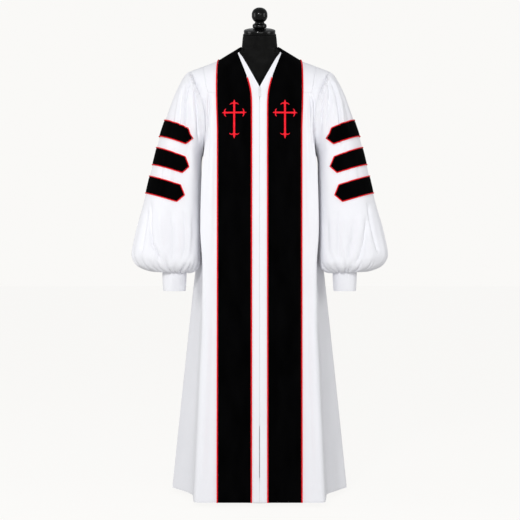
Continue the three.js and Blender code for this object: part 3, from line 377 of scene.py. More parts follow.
def spline(t, p, at, corner=None, ghost=None):
    """The line through p at places t, read at the places at. A corner is a point where it may bend sharply.
    ghost is a point before the first one, which sets the slope there."""
    if corner is not None:
        low = at <= t[corner]
        return np.concatenate([
            spline(t[: corner + 1], p[: corner + 1], at[low], ghost=ghost),
            spline(t[corner:], p[corner:], at[~low]),
        ])
    if ghost is None:
        m = slopes(t, p)
    else:
        m = slopes(np.insert(t, 0, 2 * t[0] - t[1]), np.concatenate([ghost[None], p]))[1:]
    i = np.clip(np.searchsorted(t, at, side="right") - 1, 0, len(t) - 2)
    shape = (-1, *[1] * (p.ndim - 1))
    h = (t[i + 1] - t[i]).reshape(shape)
    u = ((at - t[i])).reshape(shape) / h
    a = (1 + 2 * u) * (1 - u) ** 2
    b = u * (1 - u) ** 2
    c = u * u * (3 - 2 * u)
    d = u * u * (u - 1)
    return a * p[i] + b * h * m[i] + c * p[i + 1] + d * h * m[i + 1]


def places(net, axis):
    """Place of each row or column along a net, as its mean distance from the first."""
    steps = np.linalg.norm(np.diff(net, axis=axis), axis=2).mean(axis=1 - axis)
    return np.concatenate([[0], np.cumsum(np.maximum(steps, 1))])


def finer(t, spans):
    """Places between those in t, spans[i] of them in span i, and where each of t's own is among them."""
    parts = [np.linspace(t[i], t[i + 1], n, endpoint=False) for i, n in enumerate(spans)]
    at = np.concatenate([*parts, [t[-1]]])
    return at, np.concatenate([[0], np.cumsum(spans)])


def spans_for(t, size):
    return [max(1, int(math.ceil(step / size))) for step in np.diff(t)]


class Net:
    """A fine net of points with normals. row_at and column_at say where the rows and columns of its table are."""

    def __init__(self, points, row_at, column_at, side, closed=False):
        self.p, self.row_at, self.column_at, self.side, self.closed = points, row_at, column_at, side, closed
        self.settle()

    def settle(self):
        down = np.gradient(self.p, axis=0)
        if self.closed:
            across = (np.roll(self.p, -1, axis=1) - np.roll(self.p, 1, axis=1)) / 2
        else:
            across = np.gradient(self.p, axis=1)
        self.n = unit(np.cross(down, across) * self.side)

    def raised(self, height):
        """The net moved along its normals by a height for each point."""
        self.p = self.p + self.n * height[..., None]
        self.settle()

    def at(self, index):
        return self.p[index], self.n[index]

    def part(self, r0, r1, c0, c1):
        """Points and normals of the net from one table row and column to another."""
        return self.at(np.s_[self.row_at[r0] : self.row_at[r1] + 1, self.column_at[c0] : self.column_at[c1] + 1])


def fine_net(net, row_size, column_spans, side, row_corners=None, ghost=None):
    """row_corners gives, for some columns, the row at which that column may bend sharply."""
    t = places(net, 0)
    at, row_at = finer(t, spans_for(t, row_size))
    lines = [
        spline(t, net[:, c], at, (row_corners or {}).get(c), None if ghost is None else ghost[c])
        for c in range(net.shape[1])
    ]
    tall = np.stack(lines, axis=1)
    u = places(net, 1)
    across, column_at = finer(u, column_spans)
    points = spline(u, tall.transpose(1, 0, 2), across).transpose(1, 0, 2)
    return Net(points, row_at, column_at, side)


# Folds: soft ridges and troughs along lines seen from the front or the back
def line_distance(x, z, line):
    """Distance of each point from a line of (x, z) points, how far along the line, and on which side."""
    best = np.full(x.shape, 1e9)
    along = np.zeros(x.shape)
    side = np.zeros(x.shape)
    total = sum(math.dist(a, b) for a, b in zip(line, line[1:]))
    done = 0
    for (x0, z0), (x1, z1) in zip(line, line[1:]):
        length = math.hypot(x1 - x0, z1 - z0)
        ux, uz = (x1 - x0) / length, (z1 - z0) / length
        t = np.clip((x - x0) * ux + (z - z0) * uz, 0, length)
        dx, dz = x - x0 - t * ux, z - z0 - t * uz
        d = np.hypot(dx, dz)
        near = d < best
        best = np.where(near, d, best)
        along = np.where(near, (done + t) / total, along)
        side = np.where(near, np.sign(ux * dz - uz * dx), side)
        done += length
    return best, along, side


def fold_height(x, z, folds):
    """Sum of the folds' heights. A fold is steeper on one side, by its skew, and dies away at both ends."""
    height = np.zeros(x.shape)
    for fold in folds:
        d, along, side = line_distance(x, z, fold["line"])
        width = fold["width"] * np.where(side > 0, 1 + fold["skew"], 1 - fold["skew"])
        ends = smooth(along / fold["rise"]) * smooth((1 - along) / fold["fall"])
        height += fold["depth"] * np.exp(-((d / width) ** 2)) * ends
    return height


def fold_table(text):
    """Folds from a text table: depth, width, skew, rise and fall, then the x and z of each point of its line."""
    rows = [[float(value) for value in line.split()] for line in text.strip().splitlines()]
    keys = ("depth", "width", "skew", "rise", "fall")
    return [{**dict(zip(keys, row)), "line": list(zip(row[5::2], row[6::2]))} for row in rows]


# Folds of the front beside the armhole
FRONT_FOLDS = {
    "left": fold_table("""
    -3 4 0.35 0.05 0.4  153 1228  158 1134  163 1010
    2.4 4.5 -0.2 0.1 0.4  148 1226  150 1134  153 980
    -3.8 3.6 0.3 0.05 0.5  160 1227  167 1189  169.5 1134  170 1075
    -2 5 0.2 0.1 0.5  143 1226  144 1150  146 1040  148 900
    1.6 7 0 0.3 0.4  139 1190  141 1080  143 930  146 760
    -1.2 8 0 0.3 0.4  132 1150  134 1000  139 800  142 640
    1 3 0 0.2 0.4  187 1243  180 1240  168 1243
    """),
    "right": fold_table("""
    -4.2 3.4 0.35 0.05 0.4  172 1216  166 1181  164 1150  164 1066
    1.8 4.5 -0.2 0.1 0.4  160 1222  161 1134  161 1010
    -3.4 3.4 0.35 0.05 0.5  152 1228  156 1150  159 1070  160 960
    -2.2 4 0.3 0.1 0.5  144 1226  146 1150  148 1040  150 900
    1.3 8 0 0.3 0.4  138 1170  140 1040  143 880  147 700
    -1 7 0 0.3 0.4  131 1120  134 960  137 780  141 600
    """),
}

# Long soft folds of the skirt's front
SKIRT_FOLDS = {
    "left": fold_table("""
    -1.4 9 0.2 0.3 0.2  138 760  143 500  150 250  156 14
    1.2 10 0 0.3 0.2  150 620  156 400  164 200  170 14
    """),
    "right": fold_table("""
    -1.2 10 -0.2 0.3 0.2  136 690  142 460  148 230  153 14
    1.4 9 0 0.3 0.2  152 560  158 380  166 180  172 14
    """),
}

# Folds of the sleeve's front, from the armhole and towards the cuff
SLEEVE_FOLDS = {
    "left": fold_table("""
    -4 3.2 0.45 0.1 0.4  193 1252  196 1243  195 1220  187 1158  183 1100
    -4 3.2 0.45 0.1 0.4  205 1275  210 1254  210.5 1220  203 1150  199 1090
    2.8 5 0 0.15 0.4  203 1258  202 1225  195 1160  190 1080
    -6 3.8 0.5 0.08 0.35  212 1283  224 1251  233 1220  238 1181  241 1130  240 1040
    3.8 6 0 0.12 0.4  219 1281  233 1247  243 1210  249 1165  252 1090
    -4 4 0.4 0.15 0.4  234 1262  246 1236  258 1207  268 1162  272 1090
    2.6 5 0 0.15 0.4  212 1266  220 1235  224 1190  222 1130
    -2.6 7 0.3 0.15 0.4  214 1270  217 1235  214 1180  212 1100  214 1010
    -2.2 6 0 0.25 0.35  258 1100  262 1040  266 960  270 880
    -2 7 0.2 0.25 0.35  292 1060  300 980  306 900
    -5.5 5 0.45 0.15 0.15  325 900  330 857  341 797  359 737
    -5.5 6 0.45 0.25 0.15  320 858  317 820  311 780  299 738  284 706
    3 10 0 0.3 0.2  303 880  300 820  288 760  272 712
    -3.2 7 0.3 0.3 0.2  281 860  276 800  266 757  259 708
    2.6 9 0 0.3 0.2  256 880  254 810  248 740
    -3.2 6.5 -0.3 0.3 0.2  236 880  235 800  236 738  246 705
    -2.6 6.5 -0.2 0.3 0.2  204 860  203 800  206 750  222 706
    """),
    "right": fold_table("""
    -4.4 3.4 0.45 0.08 0.4  205 1281  212 1263  219 1235  223 1196  224 1130  222 1050
    2.8 5 0 0.12 0.4  213 1280  223 1250  231 1212  234 1160  234 1090
    -5.6 3.4 0.5 0.08 0.4  195 1243  193 1212  189 1174  185 1133  183 1060
    3 5 0 0.12 0.4  203 1252  203 1212  199 1160  194 1080
    -3.6 3.8 0.4 0.1 0.4  225 1264  229 1243  235 1220  238 1170  240 1080
    -2.6 6 0.3 0.15 0.4  243 1246  252 1215  260 1170  266 1090
    2 6 0 0.15 0.4  237 1258  244 1225  250 1170  252 1100
    -2.4 6 0.2 0.2 0.35  208 1200  210 1120  214 1030  216 960
    -2.2 6 0 0.25 0.35  252 1080  256 1020  258 950  262 880
    -2.2 6 0.2 0.25 0.35  290 1050  296 980  302 905
    -6 5.2 0.45 0.2 0.15  328 905  325 826  320 772  305 748  288 708
    -5 5.6 0.4 0.25 0.15  338 890  343 831  355 740
    3 11 0 0.3 0.2  300 890  297 810  284 755  272 712
    -2.8 7 0.2 0.3 0.2  268 890  262 820  262 760  266 706
    2.4 10 0 0.3 0.2  248 880  244 800  242 738
    -3 7 -0.3 0.3 0.2  228 890  222 820  222 750  240 706
    -2.4 7 -0.2 0.3 0.2  200 870  198 800  203 745  216 708
    """),
}

# Folds of the back below the yoke seam and beside the armholes, on each half
BACK_FOLDS = {
    "left": fold_table("""
    -2.6 5 0.2 0.15 0.5  168 1214  160 1160  156 1090  157 1000
    2 6 0 0.2 0.5  150 1218  144 1130  142 1020
    -2 7 -0.2 0.2 0.5  118 1224  120 1100  126 930
    -1.8 8 0.2 0.2 0.5  62 1226  64 1090  70 900
    1.6 7 0 0.2 0.5  33 1228  32 1120  36 980
    """),
    "right": fold_table("""
    -2.4 6 0.2 0.15 0.5  166 1212  158 1150  153 1080  153 980
    1.8 6 0 0.2 0.5  146 1220  140 1120  139 1000
    -2.2 8 -0.2 0.2 0.5  110 1224  113 1110  120 960
    -1.6 7 0.2 0.2 0.5  70 1226  73 1100  80 920
    1.4 7 0 0.2 0.5  26 1228  24 1110  27 950
    """),
}


SPREAD = 0.3  # how far a gather may stray from its even place, as a share of the space between two


def gathers(place, seed, count, spread):
    """Heights of count uneven gathers round a closed edge, at places from 0 to 1, each from -1 to 1."""
    rng = random.Random(seed)
    knots = [(k + rng.uniform(-spread, spread)) / count for k in range(count)]
    tall = [rng.uniform(0.55, 1) for _ in range(count)]
    height = np.zeros(np.shape(place))
    for k in range(count):
        gap = np.abs((np.asarray(place) - knots[k] + 0.5) % 1 - 0.5) * count
        height = np.maximum(height, tall[k] * np.cos(np.clip(gap, 0, 0.5) * math.pi) ** 2)
    return 2 * height - 0.8


def creases(place, reach, seed, count, spread, lengths, width):
    """Uneven narrow creases that run from a closed edge, each as deep and long as chance has it, from 0 to 1."""
    rng = random.Random(seed)
    depth = np.zeros(np.broadcast_shapes(np.shape(place), np.shape(reach)))
    for k in range(count):
        knot = (k + rng.uniform(-spread, spread)) / count
        tall = rng.uniform(0.3, 1)
        length = lerp(*lengths, tall * rng.uniform(0.6, 1))
        lean = rng.uniform(-0.6, 0.6) / count
        gap = np.abs((place - knot - lean * smooth(reach / length) + 0.5) % 1 - 0.5) * count
        fade = 1 - smooth((reach - 0.45 * length) / (0.55 * length))
        depth = np.maximum(depth, tall * np.exp(-((gap / width) ** 2)) * fade)
    return depth


def ripple(x, z, seed, size):
    """A gentle unevenness of cloth, from -1 to 1, with waves about size long."""
    rng = random.Random(seed)
    total = np.zeros(x.shape)
    for _ in range(7):
        length = size * rng.uniform(0.6, 1.8)
        turn = rng.uniform(-0.6, 0.6)
        phase = rng.uniform(0, 2 * math.pi)
        total += np.sin(2 * math.pi * (x * math.cos(turn) + z * math.sin(turn) * 0.4) / length + phase)
    return total / 7


# Meshes
def build(name, mesh, material, sharp=35, side=1, node=None):
    """A piece from points in millimetres and faces. side -1 puts it on the -X side, and node is what it stands for."""
    verts, faces = mesh
    points = verts * MM
    if side < 0:
        points, faces = points * (-1, 1, 1), faces[:, ::-1]
    data = bpy.data.meshes.new(name)
    data.from_pydata(points.tolist(), [], [list(dict.fromkeys(face)) for face in faces.tolist()])
    data.validate()
    data.shade_smooth()
    data.set_sharp_from_angle(angle=math.radians(sharp))
    data.materials.append(material)
    obj = bpy.data.objects.new(name, data)
    bpy.context.scene.collection.objects.link(obj)
    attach(obj, GARMENT)
    if node:
        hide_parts(node)
    return obj


def joined(parts):
    """Several sets of points and faces as one."""
    verts, faces = zip(*parts)
    starts = np.cumsum([0] + [len(v) for v in verts[:-1]])
    return np.concatenate(verts), np.concatenate([f + start for f, start in zip(faces, starts)])


def chained(*lines):
    """Several lines of points and normals as one line."""
    return [np.concatenate(part) for part in zip(*lines)]


def wall(p, n, lift=0.0, thick=CLOTH, mask=None, closed=False, inset=EDGE, roll=0.8):
    """A closed wall over a net. lift and thick may differ from point to point. mask says which cells it covers,
    and roll is how far its outer rim is turned down."""
    rows, cols = p.shape[:2]
    cells = cols if closed else cols - 1
    mask = np.ones((rows - 1, cells), bool) if mask is None else mask
    ring = np.zeros((rows + 1, cols + 1), int)
    if closed:
        ring[1:rows, 1 : cols + 1] = mask
        ring[1:rows, 0] = mask[:, -1]
    else:
        ring[1:rows, 1:cols] = mask
    ul, ur, dl, dr = ring[:-1, :-1], ring[:-1, 1:], ring[1:, :-1], ring[1:, 1:]
    used = (ul + ur + dl + dr) > 0
    right = np.sign(ur + dr - ul - dl)
    below = np.sign(dl + dr - ul - ur)
    east = unit(np.roll(p, -1, axis=1) - p)
    west = unit(np.roll(p, 1, axis=1) - p)
    south = unit(np.roll(p, -1, axis=0) - p)
    north = unit(np.roll(p, 1, axis=0) - p)
    at = p + inset * (
        (right > 0)[..., None] * east
        + (right < 0)[..., None] * west
        + (below > 0)[..., None] * south
        + (below < 0)[..., None] * north
    )
    rim = (ul + ur + dl + dr) < 4
    lift = np.broadcast_to(np.asarray(lift, float), (rows, cols))
    thick = np.broadcast_to(np.asarray(thick, float), (rows, cols))
    outer = at + n * (lift - rim * roll)[..., None]
    inner = at + n * (lift - thick)[..., None]
    index = np.full((rows, cols), -1)
    index[used] = np.arange(used.sum())
    count = int(used.sum())
    verts = np.concatenate([outer[used], inner[used]])
    r, c = np.nonzero(mask)
    c2 = (c + 1) % cols
    a, b, d, e = index[r, c], index[r, c2], index[r + 1, c], index[r + 1, c2]
    faces = [np.stack([a, d, e, b], 1), np.stack([a, b, e, d], 1) + count]

    def rim_faces(lone, first, second):
        i, j = first[lone], second[lone]
        faces.append(np.stack([i, j, j + count, i + count], 1))

    rim_faces(~ring[r, c + 1].astype(bool), a, b)
    rim_faces(~ring[r + 2, c + 1].astype(bool), e, d)
    if closed:
        west_cell = mask[r, (c - 1) % cols]
        east_cell = mask[r, c2]
    else:
        west_cell = ring[r + 1, c].astype(bool)
        east_cell = ring[r + 1, c + 2 - (c + 2 > cols)].astype(bool) & (c + 2 <= cols)
    rim_faces(~west_cell, d, a)
    rim_faces(~east_cell, b, e)
    return verts, outward(verts, np.concatenate(faces))


def outward(verts, faces):
    """The faces turned so that they point out of the closed mesh."""
    a, b, c, d = (verts[faces[:, k]] for k in range(4))
    volume = (np.cross(a, b) * c).sum() + (np.cross(a, c) * d).sum()
    return faces if volume > 0 else faces[:, ::-1]


def trimmed(p, n, left=0.0, right=0.0, top=0.0, bottom=0.0):
    """A net drawn in from its four edges by distances along its own lines."""

    def draw_in(p, n, start, end):
        start, end = np.broadcast_to(start, len(p)), np.broadcast_to(end, len(p))
        length = run(p, 1)
        new_p, new_n = np.empty_like(p), np.empty_like(n)
        for r, row in enumerate(length):
            at = start[r] + (row[-1] - start[r] - end[r]) * row / max(row[-1], 1e-6)
            new_p[r], new_n[r] = read(at, row, p[r]), read(at, row, n[r])
        return new_p, unit(new_n)

    p, n = draw_in(p, n, left, right)
    p, n = draw_in(p.transpose(1, 0, 2), n.transpose(1, 0, 2), top, bottom)
    return p.transpose(1, 0, 2), n.transpose(1, 0, 2)


def ring_faces(rings, segments, closed=False):
    """Faces between rings of points. Rings that don't close get a fan over each end, round two last points."""
    k, s = np.meshgrid(np.arange(rings if closed else rings - 1), np.arange(segments), indexing="ij")
    after, t = (k + 1) % rings * segments, (s + 1) % segments
    faces = np.stack([k * segments + s, k * segments + t, after + t, after + s], -1).reshape(-1, 4)
    if closed:
        return faces
    s = np.arange(0, segments, 2)
    t, u = (np.minimum(s + step, segments) % segments for step in (1, 2))
    hub, last = np.full_like(s, rings * segments), (rings - 1) * segments
    fans = np.stack([hub, u, t, s], 1), np.stack([hub + 1, last + s, last + t, last + u], 1)
    return np.concatenate([faces, *fans])


def tube(p, n, radius, sides=10, closed=False, lift=OVERLAY_LIFT):
    """A round cord along points with normals, resting on the surface."""
    if closed:
        along = unit(np.roll(p, -1, axis=0) - np.roll(p, 1, axis=0))
    else:
        along = unit(np.gradient(p, axis=0))
    across = unit(np.cross(along, n))
    up = np.cross(across, along)
    turn = ((np.arange(sides) + 0.5) / sides * 2 * math.pi)[:, None]
    middle = p + n * (lift + radius)
    rings = middle[:, None] + radius * (np.cos(turn) * across[:, None] + np.sin(turn) * up[:, None])
    hubs = [] if closed else [rings[[0, -1]].mean(axis=1)]
    verts = np.concatenate([rings.reshape(-1, 3), *hubs])
    return verts, outward(verts, ring_faces(len(p), sides, closed))


STITCH = {"length": 2.3, "pitch": 3.3, "half_width": 0.34, "rise": 0.3, "sunk": 0.05}
STITCH_RIM = (0, 2, 1, 3)


def stitches(p, n, lift=0.0):
    """A row of small stitches along points with normals, each a closed sliver."""
    length, pitch = run(p), STITCH["pitch"]
    at = np.arange(pitch / 2, length[-1] - pitch / 2, pitch)
    middle, up = read(at, length, p), unit(read(at, length, n))
    along = unit(read(at + 0.5, length, p) - middle)
    middle = middle + up * (lift + STITCH["sunk"])
    reach = along * STITCH["length"] / 2, unit(np.cross(along, up)) * STITCH["half_width"], up * STITCH["rise"]
    verts = np.stack([middle + way * step for step in reach for way in (1, -1)], 1).reshape(-1, 3)
    rim = zip(STITCH_RIM, STITCH_RIM[1:] + STITCH_RIM[:1])
    one = np.array([face for a, b in rim for face in ((a, b, 4, 4), (b, a, 5, 5))])
    return verts, outward(verts, (np.arange(len(at))[:, None, None] * 6 + one).reshape(-1, 4))


ZIP_COIL = {"radius": 0.75, "wire": 0.24, "pitch": 1.5, "lift": 0.95, "flat": 0.6}


def coil(p, n):
    """A zip's coil along points with normals."""
    length, pitch, wire = run(p), ZIP_COIL["pitch"], ZIP_COIL["wire"]
    at = np.arange(0, length[-1], pitch / 8)
    middle, up = read(at, length, p), unit(read(at, length, n))
    across = unit(np.cross(unit(np.gradient(middle, axis=0)), up))
    turn = (at / pitch * 2 * math.pi)[:, None]
    out = np.cos(turn) * across + np.sin(turn) * up * ZIP_COIL["flat"]
    return tube(middle + up * ZIP_COIL["lift"] + out * ZIP_COIL["radius"], unit(out), wire, sides=5, lift=-wire)


def lathe(profile, segments):
    """A turned piece from (radius, height) points that start and end on the axis."""
    turn = np.arange(segments) / segments * 2 * math.pi
    rings = [np.stack([r * np.cos(turn), r * np.sin(turn), np.full(segments, z)], 1) for r, z in profile[1:-1]]
    verts = np.concatenate([*rings, [[0, 0, profile[0][1]], [0, 0, profile[-1][1]]]])
    return verts, outward(verts, ring_faces(len(rings), segments))


def rounded(profile, step):
    """A profile with more points on a smooth line through its own, except that its two ends stay."""
    p = np.array(profile, float)
    t = run(p)
    at, _ = finer(t, spans_for(t, step))
    return [tuple(q) for q in spline(t, p, at)]


# Materials
def socket(node, name, value):
    node.inputs[name].default_value = value


def noise(tree, where, scale, detail=3.0, stretch=None):
    if stretch is not None:
        mapping = tree.nodes.new("ShaderNodeMapping")
        socket(mapping, "Scale", stretch)
        tree.links.new(where, mapping.inputs["Vector"])
        where = mapping.outputs["Vector"]
    node = tree.nodes.new("ShaderNodeTexNoise")
    socket(node, "Scale", scale)
    socket(node, "Detail", detail)
    tree.links.new(where, node.inputs["Vector"])
    return node.outputs["Fac"]


def wave(tree, where, scale, direction, distortion=0.0, detail_scale=1.0):
    node = tree.nodes.new("ShaderNodeTexWave")
    node.bands_direction = direction
    socket(node, "Scale", scale)
    socket(node, "Distortion", distortion)
    socket(node, "Detail Scale", detail_scale)
    tree.links.new(where, node.inputs["Vector"])
    return node.outputs["Fac"]


def combined(tree, operation, a, b):
    node = tree.nodes.new("ShaderNodeMath")
    node.operation = operation
    for k, value in enumerate((a, b)):
        if isinstance(value, (int, float)):
            node.inputs[k].default_value = value
        else:
            tree.links.new(value, node.inputs[k])
    return node.outputs["Value"]


def tint(tree, shader, factor, low, high, position=(0.3, 0.7)):
    ramp = tree.nodes.new("ShaderNodeValToRGB")
    ramp.color_ramp.elements[0].position = position[0]
    ramp.color_ramp.elements[1].position = position[1]
    ramp.color_ramp.elements[0].color = (*low, 1)
    ramp.color_ramp.elements[1].color = (*high, 1)
    tree.links.new(factor, ramp.inputs["Fac"])
    tree.links.new(ramp.outputs["Color"], shader.inputs["Base Color"])


def bump(tree, shader, height, strength, distance):
    node = tree.nodes.new("ShaderNodeBump")
    socket(node, "Strength", strength)
    socket(node, "Distance", distance)
    tree.links.new(height, node.inputs["Height"])
    tree.links.new(node.outputs["Normal"], shader.inputs["Normal"])


def made_of(name, slot, color, roughness, relief, strength, distance, shades=None, grain=(), **values):
    """A material with relief(tree, where) as its bump, whose colour runs between two shades by a noise."""
    material = bpy.data.materials.new(name)
    material.use_nodes = True
    tree = material.node_tree
    shader = tree.nodes["Principled BSDF"]
    socket(shader, "Base Color", (*color, 1))
    socket(shader, "Roughness", roughness)
    for key, value in values.items():
        socket(shader, key.replace("_", " "), value)
    where = tree.nodes.new("ShaderNodeTexCoord").outputs["Object"]
    if shades:
        tint(tree, shader, noise(tree, where, *grain), *shades)
    bump(tree, shader, relief(tree, where), strength, distance)
    return material


def grainy(scale):
    return lambda tree, where: noise(tree, where, scale, 2)


def twill(scale, distortion, detail):
    return lambda tree, where: wave(tree, where, scale, "DIAGONAL", distortion, detail)


def crossed(across, down, distortion, detail):
    """Two sets of ribs that cross, as in a weave or a knit."""

    def relief(tree, where):
        first = wave(tree, where, across, "X", distortion, detail)
        return combined(tree, "MULTIPLY", first, wave(tree, where, down, "Z", distortion, detail))

    return relief


def crinkled_weave(tree, where):
    threads = crossed(520, 520, 0.6, 3)(tree, where)
    crinkle = noise(tree, where, 34, 3)
    return combined(tree, "ADD", combined(tree, "MULTIPLY", threads, 0.35), crinkle)


WHITE = made_of(
    "white_cloth", "white_cloth", (0.87, 0.872, 0.912), 0.72, crinkled_weave, 0.22, 0.0012,
    ((0.86, 0.862, 0.9), (0.885, 0.887, 0.925)), (9, 4),
    Sheen_Weight=0.12, Sheen_Roughness=0.5, Specular_IOR_Level=0.3,
)
# The coil's dark grey is painted shadow: it darkens the open gap between the zip flaps
COIL = made_of(
    "zip_coil_painted_shadow_grey", "white_cloth", (0.2, 0.2, 0.21), 0.5, grainy(700), 0.1, 0.0003,
    ((0.17, 0.17, 0.18), (0.24, 0.24, 0.25)), (70, 3), Specular_IOR_Level=0.3,
)
BLACK_VELVET = made_of(
    "black_velvet", "velvet", (0.0008, 0.0008, 0.0009), 0.95, grainy(900), 0.35, 0.0006,
    ((0.0004, 0.0004, 0.0005), (0.0016, 0.0016, 0.0018)), (28, 5, (1, 1, 0.35)),
    Sheen_Weight=0.004, Sheen_Roughness=0.4, Specular_IOR_Level=0.02,
)
RED_CORD = made_of(
    "red_satin", "red_trim", (0.8, 0.002, 0.008), 0.5, twill(260, 1.2, 2), 0.3, 0.0005,
    ((0.72, 0.0015, 0.006), (0.88, 0.003, 0.011)), (60, 3), Specular_IOR_Level=0.15,
)
RED_THREAD = made_of(
    "red_embroidery", "red_trim", (1.0, 0.01, 0.024), 0.5, twill(420, 0.8, 3), 0.45, 0.0006,
    ((0.94, 0.007, 0.02), (1.0, 0.016, 0.034)), (80, 3), Specular_IOR_Level=0.15,
)
JERSEY = made_of(
    "black_jersey", "jersey", (0.006, 0.006, 0.0058), 0.92, crossed(300, 220, 0.5, 4), 0.5, 0.0005,
    ((0.0045, 0.0045, 0.0044), (0.0085, 0.0085, 0.0082)), (40, 4), Sheen_Weight=0.02, Specular_IOR_Level=0.06,
)
GLOSS = made_of(
    "gloss_black", "gloss_black", (0.0006, 0.0006, 0.0007), 0.22, grainy(14), 0.05, 0.001,
    Specular_IOR_Level=0.22, Coat_Weight=0.08, Coat_Roughness=0.04,
)
STEEL = made_of(
    "satin_black_steel", "steel", (0.02, 0.02, 0.021), 0.38, grainy(260), 0.12, 0.0004,
    ((0.016, 0.016, 0.017), (0.026, 0.026, 0.027)), (22, 4), Metallic=0.6,
)
LACQUER = made_of(
    "white_zip_lacquer", None, (0.78, 0.78, 0.81), 0.28, grainy(500), 0.1, 0.0003,
    ((0.74, 0.74, 0.77), (0.82, 0.82, 0.85)), (90, 3), Coat_Weight=0.3,
)

# Fine nets of the two halves, with the fine cells in each span of their columns
FRONT_SPANS = [6, 6, 6, 6, 7, 7, 5, 11, 12, 12, 12]
YOKE_SPANS = [8, 4, 7, 7, 7, 3, 3, 3, 3, 3, 3, 3]
BACK_SPANS = [9] * BACK_COLUMNS
ROW_SIZE = 5
COARSE_FRONT = front_net()
COARSE_BACK = back_net()
COARSE_YOKE = yoke_net(COARSE_BACK)
COARSE_FRONT[0, OUTER:, 1] = SHOULDER_Y
COARSE_YOKE[0, YOKE_PANEL:, 1] = SHOULDER_Y


def over_shoulder(row):
    """The row below the shoulder line, turned over it, so that nets run level there."""
    return row * (1, -1, 1) + (0, 2 * SHOULDER_Y, 0)


def pinned(net, left=0, right=0):
    """Weights that hold a net's side edges in place, over these distances."""
    across = run(net.p, 1)
    weight = np.ones(across.shape)
    if left:
        weight *= smooth(across / left)
    if right:
        weight *= smooth((across[:, -1:] - across) / right)
    return weight


def seam_groove(z, at, depth=0.7, width=2.2):
    return -depth * np.exp(-(((z - at) / width) ** 2))


CALM_X = 128


def make_front(side):
    net = fine_net(COARSE_FRONT, ROW_SIZE, FRONT_SPANS, 1, {MIDDLE: V_FOOT_ROW}, over_shoulder(COARSE_FRONT[1]))
    net.p[:, :, 0] = np.maximum(net.p[:, :, 0], 0)
    net.settle()
    x, z = net.p[..., 0], net.p[..., 2]
    height = fold_height(x, z, FRONT_FOLDS[side]) + fold_height(x, z, SKIRT_FOLDS[side])
    # Folds lie where the cloth faces the front, beyond the velvet
    facing = smooth((-net.n[..., 1] - 0.1) / 0.3)
    calm = smooth((x - CALM_X) / 14)
    height = FOLD_GAIN * height * facing * calm
    height += 0.5 * ripple(x, z, f"front {side}", 210) * smooth((1180 - z) / 250)
    height *= pinned(net, right=8)
    # The side of the flute is uneven too, more and more towards the hem
    flute = smooth((net.p[..., 1] + 215) / 60) * smooth((700 - z) / 300)
    height += 1.6 * ripple(net.p[..., 1] * 1.3, z, f"flute {side}", 95) * flute * pinned(net, right=30)
    height += seam_groove(z, HEM_BAND_Z, 0.6, 2)
    net.raised(height)
    net.p[:, :, 0] = np.maximum(net.p[:, :, 0], 0)
    return net


def make_back(side):
    net = fine_net(COARSE_BACK, 6, BACK_SPANS, -1)
    x, z = net.p[..., 0], net.p[..., 2]
    height = fold_height(x, z, BACK_FOLDS[side]) * smooth((net.n[..., 1] - 0.1) / 0.3) * pinned(net, right=8)
    place = np.linspace(0, 1, net.p.shape[1])[None, :]
    below = YOKE_SEAM_Z - z
    pucker = gathers(place * 0.5, f"yoke gathers {side}", 44, SPREAD)
    height += 0.9 * pucker * smooth(below / 6) * (1 - smooth(below / 70)) * pinned(net, left=20, right=20)
    height += 1.4 * ripple(x * 1.2, z, f"back {side}", 130) * smooth((1000 - z) / 400) * pinned(net, 30, 30)
    height += seam_groove(z, HEM_BAND_Z, 0.6, 2)
    net.raised(height)
    return net


def make_yoke():
    return fine_net(COARSE_YOKE, ROW_SIZE, YOKE_SPANS, -1, None, over_shoulder(COARSE_YOKE[1]))


NETS = {side: {"front": make_front(side), "back": make_back(side), "yoke": make_yoke()} for side in SIDES}


# The sleeve's surface
def ring_values(v):
    """The ring's numbers at places v, 1 being the first ring of the table."""
    rings = np.arange(1, len(SLEEVE_RINGS) + 1)
    return {key: np.interp(v, rings, column(SLEEVE_RINGS, key)) for key in SLEEVE_RINGS[0]}


def sleeve_point(angle, v):
    ring = ring_values(v)
    dx, dz = (ring["ox"] - ring["ix"]) / 2, (ring["oz"] - ring["iz"]) / 2
    half = np.hypot(dx, dz)
    depth = SOFT_FOLD_DEPTH * smooth((v - 2) / 3) * smooth((12 - v) / 3)
    swell = 1 + depth * np.cos(SOFT_FOLDS * angle + 0.6) / ring["half"]
    squarer = np.where(np.sin(angle) > 0, INNER_SQUARE_FRONT, INNER_SQUARE_BACK) * np.sin(2 * angle) ** 2
    swell = swell + np.where(np.cos(angle) < 0, squarer, 0) * smooth((v - 2) / 3) * smooth((12.5 - v) / 3)
    u, s = np.cos(angle) * swell, np.sin(angle)
    inward = ring["bulge"] * np.abs(s)
    x = (ring["ox"] + ring["ix"]) / 2 + dx * u - inward * dz / half
    z = (ring["oz"] + ring["iz"]) / 2 + dz * u + inward * dx / half
    return np.stack(np.broadcast_arrays(x, ring["y"] - ring["half"] * s * swell, z), -1)


SLEEVE_COLUMNS = 240
SLEEVE_ROW_SIZE = 5.5
# Count and height of the gathers at the armhole, and of the soft ones over the cuff
CAP_GATHERS, CAP_HEIGHT = 46, 1.7
LOW_GATHERS, LOW_HEIGHT = 13, 1.6
# The creases that run up from the cuff, and the fullness between them
CUFF_CREASES, CUFF_CREASE_LENGTHS, CUFF_CREASE_WIDTH, CUFF_CREASE_DEPTH = 24, (60, 130), 0.24, 7.5
CUFF_FULLNESS = 2.2


def edge_line(net, first, last):
    """The net's side column between two table rows, with each point's place in rows."""
    rows = slice(net.row_at[first], net.row_at[last] + 1)
    place = np.interp(np.arange(rows.start, rows.stop), net.row_at, np.arange(len(net.row_at)))
    return place, net.p[rows, -1], net.n[rows, -1]


